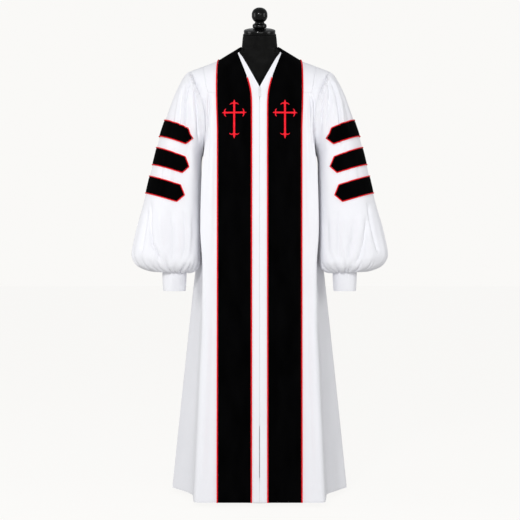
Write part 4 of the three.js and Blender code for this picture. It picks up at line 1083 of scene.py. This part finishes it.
def armhole(nets):
    """Points and normals of the armhole at the sleeve's columns, down the front and up the back."""
    front_row, *front_line = edge_line(nets["front"], 0, LAST_UPPER)
    yoke_row, *yoke_line = edge_line(nets["yoke"], 0, YOKE_SEAM_ROW)
    low_row, *low_line = edge_line(nets["back"], 0, LAST_UPPER - YOKE_SEAM_ROW)
    rows_behind = np.concatenate([low_row[::-1] + YOKE_SEAM_ROW, yoke_row[::-1]])
    place = np.concatenate([2 * front_row, SLEEVE_SEGMENTS - 2 * rows_behind])
    line_p, line_n = chained(front_line, [a[::-1] for a in low_line], [a[::-1] for a in yoke_line])
    u = np.arange(SLEEVE_COLUMNS) * SLEEVE_SEGMENTS / SLEEVE_COLUMNS
    return read(u, place, line_p), unit(read(u, place, line_n))


def arm_angles(loop):
    """Angle on the first rings that matches each point of the armhole."""
    top, low = loop[0], loop[len(loop) // 2]
    axis = top - low
    part = clamp01(((top - loop) @ axis) / (axis @ axis))
    angle = np.arccos(1 - 2 * part)
    later = np.arange(len(loop)) > len(loop) // 2
    return np.where(later, 2 * math.pi - angle, angle)


def ring_angles(arm, v):
    even = np.linspace(0, 2 * math.pi, SLEEVE_COLUMNS, endpoint=False)
    return lerp(arm, even, smooth(v / EVEN_RING))


def make_sleeve(side, nets):
    loop, loop_n = armhole(nets)
    arm = arm_angles(loop)
    count = len(SLEEVE_RINGS)
    coarse = np.array([loop] + [sleeve_point(ring_angles(arm, v), float(v)) for v in range(1, count + 1)])
    t = places(coarse, 0)
    at, row_at = finer(t, spans_for(t, SLEEVE_ROW_SIZE))
    points = spline(t, coarse, at)
    net = Net(points, row_at, None, -1, closed=True)
    net.v = np.interp(at, t, np.arange(count + 1))
    net.arm = arm
    x, z = net.p[..., 0], net.p[..., 2]
    place = np.linspace(0, 1, SLEEVE_COLUMNS, endpoint=False)[None, :]
    faces_front = smooth((-net.n[..., 1] + 0.15) / 0.4)
    faces_back = smooth((net.n[..., 1] + 0.15) / 0.4)
    other = "right" if side == "left" else "left"
    folds = fold_height(x, z, SLEEVE_FOLDS[side]) * faces_front
    folds += fold_height(x + 4, z - 8, SLEEVE_FOLDS[other]) * faces_back
    v = net.v[:, None]
    from_seam = (at - at[0])[:, None]
    to_cuff = (at[-1] - at)[:, None]
    upper = 0.35 + 0.65 * smooth((np.cos(2 * math.pi * place) + 0.35) / 0.6)
    cap = gathers(place, f"cap {side}", CAP_GATHERS, SPREAD)
    height = FOLD_GAIN * folds * smooth(from_seam / 7)
    height += CAP_HEIGHT * cap * upper * smooth(from_seam / 6) * (1 - smooth((from_seam - 5) / 36))
    cuff = creases(place, to_cuff, f"cuff {side}", CUFF_CREASES, SPREAD, CUFF_CREASE_LENGTHS, CUFF_CREASE_WIDTH)
    full = CUFF_FULLNESS * (1 - smooth((to_cuff - 40) / 60))
    height += (full - CUFF_CREASE_DEPTH * cuff) * smooth(to_cuff / 12)
    low = gathers(place, f"low {side}", LOW_GATHERS, SPREAD)
    height += LOW_HEIGHT * low * smooth((to_cuff - 20) / 40) * (1 - smooth((to_cuff - 90) / 130))
    height += 0.7 * ripple(x, z, f"sleeve {side}", 120) * smooth(from_seam / 60) * smooth(to_cuff / 60)
    net.raised(height)
    away = unit(np.cross(np.roll(loop, -1, axis=0) - np.roll(loop, 1, axis=0), loop_n))
    toward = unit(net.p[4] - loop)
    away *= np.sign((away * toward).sum(1))[:, None]
    net.p[0] = loop + away * EDGE
    net.n[0] = loop_n
    return net


for side, nets in NETS.items():
    nets["sleeve"] = make_sleeve(side, nets)


def sleeve_at(net, angle, v):
    """Points and normals of the finished sleeve at angles round it and places v along it."""
    angle, v = np.broadcast_arrays(np.asarray(angle, float), np.asarray(v, float))
    shape = angle.shape
    flat_angle, flat_v = angle.ravel() % (2 * math.pi), v.ravel()
    row = np.interp(flat_v, net.v, np.arange(len(net.v)))
    blend = smooth(flat_v / EVEN_RING)
    even = np.linspace(0, 2 * math.pi, SLEEVE_COLUMNS, endpoint=False)
    col = np.empty_like(flat_angle)
    for i, (a, b) in enumerate(zip(flat_angle, blend)):
        line = lerp(net.arm, even, b)
        col[i] = np.interp(a, np.append(line, 2 * math.pi), np.arange(SLEEVE_COLUMNS + 1))
    r0 = np.clip(row.astype(int), 0, net.p.shape[0] - 2)
    c0 = col.astype(int) % SLEEVE_COLUMNS
    c1 = (c0 + 1) % SLEEVE_COLUMNS
    fr, fc = (row - r0)[:, None], (col - np.floor(col))[:, None]

    p, n = (between(a, r0, c0, c1, fr, fc).reshape(*shape, 3) for a in (net.p, net.n))
    return p, unit(n)


def meet_line(angle, line):
    """Place v where the sleeve meets a slanting line seen from the front."""

    def above(v):
        p = sleeve_point(angle, v)
        return p[..., 2] > line["z"] + line["slope"] * (p[..., 0] - line["x"])

    return border(np.full(np.shape(angle), 1.0), float(len(SLEEVE_RINGS) - 2), above)


def meet_end(line, x):
    """Angle at which that line has come in to x."""
    return float(border(0.0, 2.0, lambda angle: sleeve_point(angle, meet_line(angle, line))[..., 0] > x))


BAR_LINES = 9
BAR_STEPS = 96


def bar_net(net, bar):
    """A bar's points and normals, row by row from its upper to its lower edge."""
    top_slope = (bar["top_z"] - bar["in_top_z"]) / (bar["top_x"] - bar["in_top_x"])
    bottom_slope = (bar["bottom_z"] - bar["in_bottom_z"]) / (bar["bottom_x"] - bar["in_bottom_x"])
    rows_p, rows_n = [], []
    for q in np.linspace(0, 1, BAR_LINES):
        line = {
            "x": lerp(bar["top_x"], bar["bottom_x"], q),
            "z": lerp(bar["top_z"], bar["bottom_z"], q),
            "slope": lerp(top_slope, bottom_slope, q),
        }
        end = np.interp(q, [0, 0.5, 1], [bar["in_top_x"], bar["tip_x"], bar["in_bottom_x"]])
        reach = meet_end(line, end)
        angle = np.linspace(reach, -reach, BAR_STEPS + 1)
        p, n = sleeve_at(net, angle, meet_line(angle, line))
        rows_p.append(p)
        rows_n.append(n)
    return np.array(rows_p), np.array(rows_n)


# The cloth pieces
def both_sides(net_name):
    """The two halves of a net as one, from -X to +X."""
    flip = np.array([-1, 1, 1])
    right, left = NETS["right"][net_name], NETS["left"][net_name]
    p = np.concatenate([(right.p * flip)[:, :0:-1], left.p], axis=1)
    n = np.concatenate([(right.n * flip)[:, :0:-1], left.n], axis=1)
    middle = right.p.shape[1] - 1
    p[:, middle, 0] = 0
    n[:, middle, 0] = 0
    return p, unit(n)


def cell_mask(net, keep):
    """Which fine cells a piece covers; keep(row, column) answers for the cells of the table."""
    rows, cols = net.p.shape[0] - 1, net.p.shape[1] - 1
    table_row = np.searchsorted(net.row_at, np.arange(rows), side="right") - 1
    table_col = np.searchsorted(net.column_at, np.arange(cols), side="right") - 1
    return np.array([[keep(r, c) for c in table_col] for r in table_row])


def front_keeps(r, c):
    if r < YOKE_SEAM_ROW and OUTER <= c < FOLD:
        return False
    return not (r < BAND_TOP_ROW and c == MIDDLE)


def cloth(node, mesh, material, side=1):
    obj = build(f"{node}_cloth", mesh, material, side=side, node=node)


def cord(node, mesh, side):
    build(f"{node}_cord", mesh, RED_CORD, side=side, node=node)


# How far the velvet stops short of the shoulder seam and of the middle of the back
SHOULDER_SEAM = 0.03
# How far each flap stops short of the middle, by height: open at the foot of the V and above the hem
FLAP_GAP = [
    (14, 0.15), (74, 0.15), (84, 1.3), (225, 1.1), (245, 0.2), (1196, 0.2), (1222, 1.1), (1243, 1.5), (1250, 0.15),
]
# Distance of each row of stitches on a flap from the middle
FLAP_STITCHES = (6.5, 18)
# Heights between which the coil shows
COIL_SHOWS = ((82, 238), (1203, 1238))

for side, sign in SIDES.items():
    front, yoke, sleeve = (NETS[side][key] for key in ("front", "yoke", "sleeve"))
    inner, outer = front.column_at[INNER], front.column_at[OUTER]
    corded = np.arange(len(front.p)) >= front.row_at[PIPING_TOP_ROW]

    shell = wall(front.p, front.n, mask=cell_mask(front, front_keeps))
    cloth(f"front_{side}", shell, WHITE, sign)
    shell = wall(*front.part(0, YOKE_SEAM_ROW, OUTER, FOLD))
    cloth(f"front_yoke_{side}", shell, WHITE, sign)
    shell = wall(sleeve.p, sleeve.n, closed=True, inset=0)
    cloth(f"sleeve_{side}", shell, WHITE, sign)

    # Velvet: one length down the front and one behind the neck, which meet at the shoulder seam
    p, n = trimmed(
        *front.part(0, -1, INNER, OUTER), np.where(corded, PIPING_ROOM, EDGE), PIPING_ROOM, SHOULDER_SEAM, EDGE
    )
    down_front = wall(p, n, OVERLAY_LIFT + VELVET, VELVET, inset=0, roll=0.3)
    p, n = trimmed(*yoke.part(0, BACK_BAND_ROW, 0, YOKE_PANEL), SHOULDER_SEAM, PIPING_ROOM, SHOULDER_SEAM, PIPING_ROOM)
    behind = wall(p, n, OVERLAY_LIFT + VELVET, VELVET, inset=0, roll=0.3)
    last = front.row_at[BAND_TOP_ROW]
    neck_p, neck_n = chained(front.at(np.s_[last:0:-1, inner]), yoke.at(np.s_[0, yoke.column_at[YOKE_NECK] :: -1]))
    neck_p[-1, 0] = EDGE
    rolled = tube(neck_p, neck_n, NECK_ROLL, lift=0.1 - NECK_ROLL)
    cloth(
        f"velvet_panel_{side}", joined([down_front, behind, rolled]), BLACK_VELVET, sign,
    )

    # Flap over the zip, widening into the neckline band
    p, n = front.part(BAND_TOP_ROW, -1, MIDDLE, INNER)
    p, n = trimmed(p, n, table(FLAP_GAP, p[:, 0, 2]), np.where(corded[last:], PIPING_ROOM, EDGE), EDGE, EDGE)
    shell = wall(p, n, OVERLAY_LIFT + CLOTH, CLOTH, inset=0)
    cloth(f"placket_{side}", shell, WHITE, sign)

    # Piping
    band, edge = yoke.row_at[BACK_BAND_ROW], yoke.column_at[YOKE_PANEL]
    line_p, line_n = chained(
        front.at(np.s_[::-1, outer]), yoke.at(np.s_[1:band, edge]), yoke.at(np.s_[band, edge::-1])
    )
    line_p[-1, 0] = EDGE
    cord(f"piping_outer_{side}", tube(line_p, line_n, PIPING_RADIUS), sign)
    cord(f"piping_inner_{side}", tube(*front.at(np.s_[front.row_at[PIPING_TOP_ROW] :, inner]), PIPING_RADIUS), sign)

    # Bars and their piping
    for number, bar in enumerate(BARS, 1):
        p, n = bar_net(sleeve, bar)
        line_p, line_n = (np.concatenate([a[0], a[1:-1, -1], a[-1, ::-1], a[-2:0:-1, 0]]) for a in (p, n))
        p, n = trimmed(p, n, BAR_END_ROOM, BAR_END_ROOM, BAR_EDGE_ROOM, BAR_EDGE_ROOM)
        lift = bar["lift"]
        cloth(
            f"sleeve_bar_{side}_{number}", wall(p, n, lift + VELVET, VELVET, inset=0), BLACK_VELVET, sign,
        )
        edging = tube(line_p, line_n, BAR_PIPING_RADIUS, sides=8, closed=True, lift=lift - BAR_CORD_SUNK)
        cord(f"bar_piping_{side}_{number}", edging, sign)

    # Cuff
    heights, radii = zip(*CUFF_RINGS)
    z = np.linspace(heights[0], heights[-1], CUFF_ROWS)
    turn = np.linspace(0, 2 * math.pi, CUFF_SEGMENTS, endpoint=False)
    radius = np.interp(-z, [-h for h in heights], radii)[:, None]
    radius = radius + 0.4 * gathers(turn / (2 * math.pi), f"band {side}", 9, SPREAD)[None, :]
    for seam_z in (heights[0] - CUFF_SEAM, heights[-1] + CUFF_SEAM):
        radius = radius + seam_groove(z, seam_z, 0.5, 1)[:, None]
    ring = CUFF_X + radius * np.cos(turn), CUFF_Y - radius * np.sin(turn), np.broadcast_to(z[:, None], radius.shape)
    band = Net(np.stack(ring, -1), None, None, -1, closed=True)
    shell = wall(band.p, band.n, 0, CUFF_THICKNESS, closed=True, inset=0, roll=0.5)
    cloth(f"cuff_{side}", shell, WHITE, sign)

# Sewing: edge stitching of the flaps, the hem and the yoke seams
for side, sign in SIDES.items():
    front, back, yoke = (NETS[side][key] for key in ("front", "back", "yoke"))
    outer, fold, seam = front.column_at[OUTER], front.column_at[FOLD], front.row_at[YOKE_SEAM_ROW]
    p, n = front.part(V_FOOT_ROW, -1, MIDDLE, INNER)
    every, last, rows = np.arange(len(p)), p.shape[1] - 1, []
    for inset in FLAP_STITCHES:
        place = (inset / p[:, -1, 0] * last).clip(0, last - 0.001)
        c = place.astype(int)
        f = (place - c)[:, None]
        line_p, line_n = (a[every, c] * (1 - f) + a[every, c + 1] * f for a in (p, n))
        rows.append(stitches(line_p, line_n, OVERLAY_LIFT + CLOTH))
    hem_front, hem_back = (int(np.argmin(np.abs(z - HEM_BAND_Z))) for z in (front.p[:, outer, 2], back.p[:, 0, 2]))
    rows.append(stitches(*front.at(np.s_[hem_front, outer + 2 :])))
    rows.append(stitches(*back.at(np.s_[hem_back, 1:])))
    rows.append(stitches(*front.at(np.s_[seam - 1, outer + 1 : fold])))
    rows.append(stitches(*front.at(np.s_[front.row_at[1] : seam, fold - 1])))
    rows.append(stitches(*yoke.at(np.s_[-2, 1:-1])))
    build(f"stitching_{side}", joined(rows), WHITE, sharp=80, side=sign)

# The zip's coil, where the flaps stand open; its dark grey is painted shadow in the gap between the flaps
p, n = (a * (0, 1, 1) for a in NETS["left"]["front"].at(np.s_[:, 0]))
shown = [(p[:, 2] > low) & (p[:, 2] < high) for low, high in COIL_SHOWS]
build("zip_coil", joined([coil(p[span], unit(n[span])) for span in shown]), COIL, sharp=80)

shell = wall(*both_sides("back"))
cloth("back", shell, WHITE)
cloth("back_yoke", wall(*both_sides("yoke")), WHITE)


# Crosses
CROSS = {"x": 76, "top_z": 1204, "height": 118, "width": 74, "arm_below_top": 39.5, "bar": 3.0, "arm": 2.7}
CROSS_LIFT = 2 * OVERLAY_LIFT + VELVET + 0.1
CROSS_RISE = 1.3
# Half width of an arm near its end, as a share of its own, by the distance back from its tip
ARM_END = [(0, 0.1), (2.2, 0.42), (5, 0.85), (9, 1.2), (13, 1.1), (20, 1), (200, 1)]
# Barbs of each arm: how far behind the tip and to the side its root, its bend and its point lie
BARBS = {
    "top": [(11, 2), (8.5, 8), (15.5, 13.2)],
    "side": [(9, 2), (7, 7.5), (12.5, 12)],
    "bottom": [(14.5, 2), (9.5, 8.5), (16.5, 14.8)],
}
BARB_WIDTH = [(0, 2.3), (0.45, 1.7), (0.8, 1.2), (1, 0.35)]


def on_front(net, x, z):
    """Points and normals of the front's net at places seen from the front, below the yoke seam."""
    c0, c1 = net.column_at[INNER], net.column_at[OUTER]
    rows = slice(net.row_at[YOKE_SEAM_ROW], net.row_at[LAST_UPPER + 1])
    row = np.interp(-z, -net.p[rows, c0, 2], np.arange(rows.start, rows.stop))
    r0 = row.astype(int)
    fr = row - r0
    left, right = (net.p[r0, c, 0] * (1 - fr) + net.p[r0 + 1, c, 0] * fr for c in (c0, c1))
    col = c0 + (x - left) / (right - left) * (c1 - c0)
    k0 = np.clip(col.astype(int), c0, c1 - 1)
    p, n = (between(a, r0, k0, k0 + 1, fr[..., None], (col - k0)[..., None]) for a in (net.p, net.n))
    p[..., 0], p[..., 2] = x, z
    return p, unit(n)


def cross_mesh(net):
    """Four arms of close stitching and their barbs, each a domed strip."""
    middle_x, middle_z = CROSS["x"], CROSS["top_z"] - CROSS["arm_below_top"]
    arms = [
        ((0, 1), CROSS["arm_below_top"], CROSS["bar"], "top"),
        ((1, 0), CROSS["width"] / 2, CROSS["arm"], "side"),
        ((0, -1), CROSS["height"] - CROSS["arm_below_top"], CROSS["bar"], "bottom"),
        ((-1, 0), CROSS["width"] / 2, CROSS["arm"], "side"),
    ]
    across = np.linspace(-1, 1, 7)
    parts = []

    def strip(along, aside, half, way, direction):
        """A strip along a line in the arm's own plane; way is the line's direction at each point."""
        dx, dz = direction
        a = along[:, None] - way[:, 1:] * half[:, None] * across[None, :]
        b = aside[:, None] + way[:, :1] * half[:, None] * across[None, :]
        p, n = on_front(net, middle_x + dx * a + dz * b, middle_z + dz * a - dx * b)
        rise = CROSS_RISE * np.sqrt(np.maximum(0, 1 - across**2))[None, :] * np.minimum(1, half[:, None] / 3)
        parts.append(wall(p, n, CROSS_LIFT + 0.25 + rise, 0.25 + rise, inset=0, roll=0.05))

    for direction, reach, half, end in arms:
        along = np.concatenate([np.arange(0, reach - 16, 2.0), np.linspace(reach - 16, reach, 15)])
        way = np.tile([1.0, 0.0], (len(along), 1))
        strip(along, np.zeros(len(along)), half * table(ARM_END, reach - along), way, direction)
        (back0, side0), (back1, side1), (back2, side2) = BARBS[end]
        t = np.linspace(0, 1, 13)
        for turn in (1, -1):
            a = reach - (back0 * (1 - t) ** 2 + 2 * back1 * t * (1 - t) + back2 * t * t)
            b = turn * (side0 * (1 - t) ** 2 + 2 * side1 * t * (1 - t) + side2 * t * t)
            way = unit(np.stack([np.gradient(a), np.gradient(b)], 1))
            strip(a, b, table(BARB_WIDTH, t), way, direction)
    return joined(parts)


for side, sign in SIDES.items():
    mesh = cross_mesh(NETS[side]["front"])
    build(f"cross_{side}_embroidery", mesh, RED_THREAD, sharp=60, side=sign, node=f"cross_{side}")

# The dress form
TORSO = named("""
    z half front back
    1384   55  55  54
    1374 54.5  55  50
    1366   80  56  50
    1359   92  59  54
    1352  110  62  64
    1337  130  67  70
    1320  166  74  76
    1295  168  82  83
    1262  166  92  88
    1220  158 102  92
    1160  150 108  94
    1080  143 104  92
     980  132  94  86
     860  140 102  96
     760  146 106 102
     680  142 102  98
     655  128  90  86
""")
UNDER_FACES = [(0, 0), (5.5, 0.36), (19.5, 0.65), (43, 0.87), (110, 1)]
TORSO_CLEARANCE = CLOTH + 1.2
TORSO_HEADROOM = 3.4
TORSO_NECK_X = NECK_X - 9
NECK_BASE_Z = 1374
SHOULDERS_Z = 1337
TORSO_BOTTOM = 655
CAP_Z = 1422
NECK_SEAM_Z = 1330
CAP_TILT = math.radians(17)
NECK_RINGS = [(1394, 54, 0.3), (1406, 53, 0.65), (1421.5, 51, 1)]
TORSO_SEGMENTS = 96


def shoulder_reach(z, half):
    return border(0.0, half, lambda x: shoulder_z(x) - TORSO_HEADROOM > z, 40)


def torso_mesh():
    heights = column(TORSO, "z")[::-1]
    values = np.stack([column(TORSO, key)[::-1] for key in ("half", "front", "back")], 1)
    at = np.concatenate([
        np.arange(TORSO_BOTTOM, NECK_SEAM_Z - 5, 7.0), np.arange(NECK_SEAM_Z - 4, NECK_SEAM_Z + 5, 1.0),
        np.arange(SHOULDERS_Z, NECK_BASE_Z, 1.5), [NECK_BASE_Z, 1379, 1384],
    ])
    rows = spline(heights, values, at)
    turn = np.arange(TORSO_SEGMENTS) / TORSO_SEGMENTS * 2 * math.pi
    rings = []
    for z, (half, deep, rear) in zip(at, rows):
        reach = half if z >= NECK_BASE_Z else shoulder_reach(z, half)
        middle = SHOULDER_Y * smooth((NECK_BASE_Z - z) / 40)
        x = reach * np.cos(turn)
        s = -np.sin(turn)
        y = middle + np.where(s < 0, deep, rear) * s
        under = table(UNDER_FACES, np.maximum(0, shoulder_z(x) - z - TORSO_HEADROOM))
        front_limit = lerp(SHOULDER_Y, front_flat(x, z), under) + TORSO_CLEARANCE
        back_limit = lerp(SHOULDER_Y, back_flat(x, z), under) - TORSO_CLEARANCE
        held = (np.abs(x) > TORSO_NECK_X) & (z < NECK_BASE_Z)
        y = np.where(held & (s < 0), np.maximum(y, np.minimum(middle, front_limit)), y)
        y = np.where(held & (s >= 0), np.minimum(y, np.maximum(middle, back_limit)), y)
        draw = 1 + seam_groove(z, NECK_SEAM_Z, 0.012, 1.1)
        rings.append(np.stack([x * draw, y * draw, np.full_like(x, z)], 1))
    for z, r, slant in NECK_RINGS:
        y = -r * np.sin(turn)
        rings.append(np.stack([r * np.cos(turn), y, z + slant * y * math.tan(CAP_TILT)], 1))
    verts = np.concatenate(rings + [rings[0].mean(0)[None], rings[-1].mean(0)[None]])
    return verts, outward(verts, ring_faces(len(rings), TORSO_SEGMENTS))


def leaning(mesh):
    """A turned piece on the cap's slanting seat."""
    c, s = math.cos(CAP_TILT), math.sin(CAP_TILT)
    verts, faces = mesh
    return verts @ np.array([[1, 0, 0], [0, c, -s], [0, s, c]]).T + (0, 0, CAP_Z), faces


CAP_PROFILE = [
    (0, 0), (47.6, 0), (48.7, 0.5), (49, 1.6), (49, 4.6), (48.1, 5.3), (48.1, 6.1), (49, 6.8), (49, 10.2),
    (48.4, 11.9), (46.6, 13), (40, 15), (28, 16.6), (0, 17),
]
FINIAL_PROFILE = [
    (0, 17.3), (16, 17.3), (20.5, 19.5), (22, 24), (21.5, 28.5), (18, 32), (14.5, 34.5), (14.5, 37),
    (18.5, 41), (22.5, 47), (24.5, 54.5), (24.2, 62.5), (21.5, 70.5), (16, 76.8), (8.5, 80.6), (0, 81.6),
]
BASE_RADIUS = 160
BASE_THICKNESS = 8
POLE_RADIUS = 15
POLE_GAP = 0.3


ball = [FINIAL_PROFILE[0], *rounded(FINIAL_PROFILE[1:-1], 1.6), FINIAL_PROFILE[-1]]
pole = [(0, BASE_THICKNESS + POLE_GAP), (POLE_RADIUS, BASE_THICKNESS + POLE_GAP)]
pole += [(POLE_RADIUS, TORSO_BOTTOM - POLE_GAP), (0, TORSO_BOTTOM - POLE_GAP)]
base = [(0, 0), (BASE_RADIUS - 1, 0), (BASE_RADIUS, 1), (BASE_RADIUS, BASE_THICKNESS - 3)]
base += [(BASE_RADIUS - 1.5, BASE_THICKNESS - 0.9), (BASE_RADIUS - 5, BASE_THICKNESS), (0, BASE_THICKNESS)]
for node, made, mesh, material, sharp in (
    ("form_body", "jersey", torso_mesh(), JERSEY, 40),
    ("form_cap", "turned", leaning(lathe(CAP_PROFILE, 96)), GLOSS, 30),
    ("form_finial", "turned", leaning(lathe(ball, 72)), GLOSS, 60),
    ("form_pole", "steel", lathe(pole, 48), STEEL, 40),
    ("form_base", "steel", lathe(base, 128), STEEL, 40),
):
    build(f"{node}_{made}", mesh, material, sharp, node=node)

for node in ("zip_slider", "zip_pull"):
    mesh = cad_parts[node].data
    mesh.materials.clear()
    mesh.materials.append(LACQUER)

# Floor, light and camera
BACKDROP = (0.955, 0.947, 0.93)
FLOOR_REACH = 30
# The floor's own glow, and what is added where the camera sees it straight
FLOOR_GLOW = 0.41
FLOOR_SHOWS = 0.55


def stage_floor():
    mesh = bpy.data.meshes.new("floor")
    corners = [(x * FLOOR_REACH, y * FLOOR_REACH, 0) for x, y in ((-1, -1), (1, -1), (1, 1), (-1, 1))]
    mesh.from_pydata(corners, [], [(0, 1, 2, 3)])
    obj = bpy.data.objects.new("floor", mesh)
    bpy.context.scene.collection.objects.link(obj)
    material = bpy.data.materials.new("floor")
    material.use_nodes = True
    shader = material.node_tree.nodes["Principled BSDF"]
    socket(shader, "Base Color", (0.06, 0.06, 0.06, 1))
    socket(shader, "Roughness", 1)
    socket(shader, "Specular IOR Level", 0)
    socket(shader, "Emission Color", (*BACKDROP, 1))
    tree = material.node_tree
    path = tree.nodes.new("ShaderNodeLightPath")
    seen = combined(tree, "MULTIPLY", path.outputs["Is Camera Ray"], FLOOR_SHOWS)
    glow = combined(tree, "ADD", seen, FLOOR_GLOW)
    tree.links.new(glow, shader.inputs["Emission Strength"])
    mesh.materials.append(material)


def world_light():
    world = bpy.data.worlds.new("studio")
    bpy.context.scene.world = world
    world.use_nodes = True
    tree = world.node_tree
    seen = tree.nodes["Background"]
    socket(seen, "Color", (*BACKDROP, 1))
    lit = tree.nodes.new("ShaderNodeBackground")
    socket(lit, "Color", (0.97, 0.985, 1, 1))
    socket(lit, "Strength", 0.4)
    path = tree.nodes.new("ShaderNodeLightPath")
    mix = tree.nodes.new("ShaderNodeMixShader")
    tree.links.new(path.outputs["Is Camera Ray"], mix.inputs["Fac"])
    tree.links.new(lit.outputs["Background"], mix.inputs[1])
    tree.links.new(seen.outputs["Background"], mix.inputs[2])
    tree.links.new(mix.outputs["Shader"], tree.nodes["World Output"].inputs["Surface"])


def area_light(name, location, target_z, size, power):
    """A soft light, aimed at a height over the middle of the floor."""
    data = bpy.data.lights.new(name, "AREA")
    data.shape = "RECTANGLE"
    data.size, data.size_y = size
    data.energy = power
    obj = bpy.data.objects.new(name, data)
    bpy.context.scene.collection.objects.link(obj)
    obj.location = location
    obj.rotation_euler = (Vector((0, 0, target_z)) - Vector(location)).to_track_quat("-Z", "Y").to_euler()


stage_floor()
world_light()
for name, location, target_z, size, power in (
    ("key", (-0.95, -3.9, 2.2), 0.75, (0.5, 0.5), 73),
    ("broad", (0.7, -4.2, 1.3), 0.75, (2.2, 1.6), 27),
    ("side", (-3.2, -0.6, 1.6), 0.8, (1.4, 1.8), 28),
    ("other_side", (3.2, -1.2, 1.6), 0.8, (1.4, 1.8), 27),
):
    area_light(name, location, target_z, size, power)

CAMERA_DISTANCE = 3.8
CAMERA_HEIGHT = 0.722
PHOTO_WIDTH = 520
FOCAL_PIXELS = 1226
MIDDLE_PIXEL = 259.6
SENSOR = 36
camera = bpy.data.cameras.new("camera")
camera.sensor_width = SENSOR
camera.lens = FOCAL_PIXELS / PHOTO_WIDTH * SENSOR
camera.shift_x = (PHOTO_WIDTH / 2 - MIDDLE_PIXEL) / PHOTO_WIDTH
camera_object = bpy.data.objects.new("camera", camera)
bpy.context.scene.collection.objects.link(camera_object)
camera_object.location = (0, -CAMERA_DISTANCE, CAMERA_HEIGHT)
camera_object.rotation_euler = (math.pi / 2, 0, 0)
bpy.context.scene.camera = camera_object
bpy.context.scene.view_settings.view_transform = "Standard"
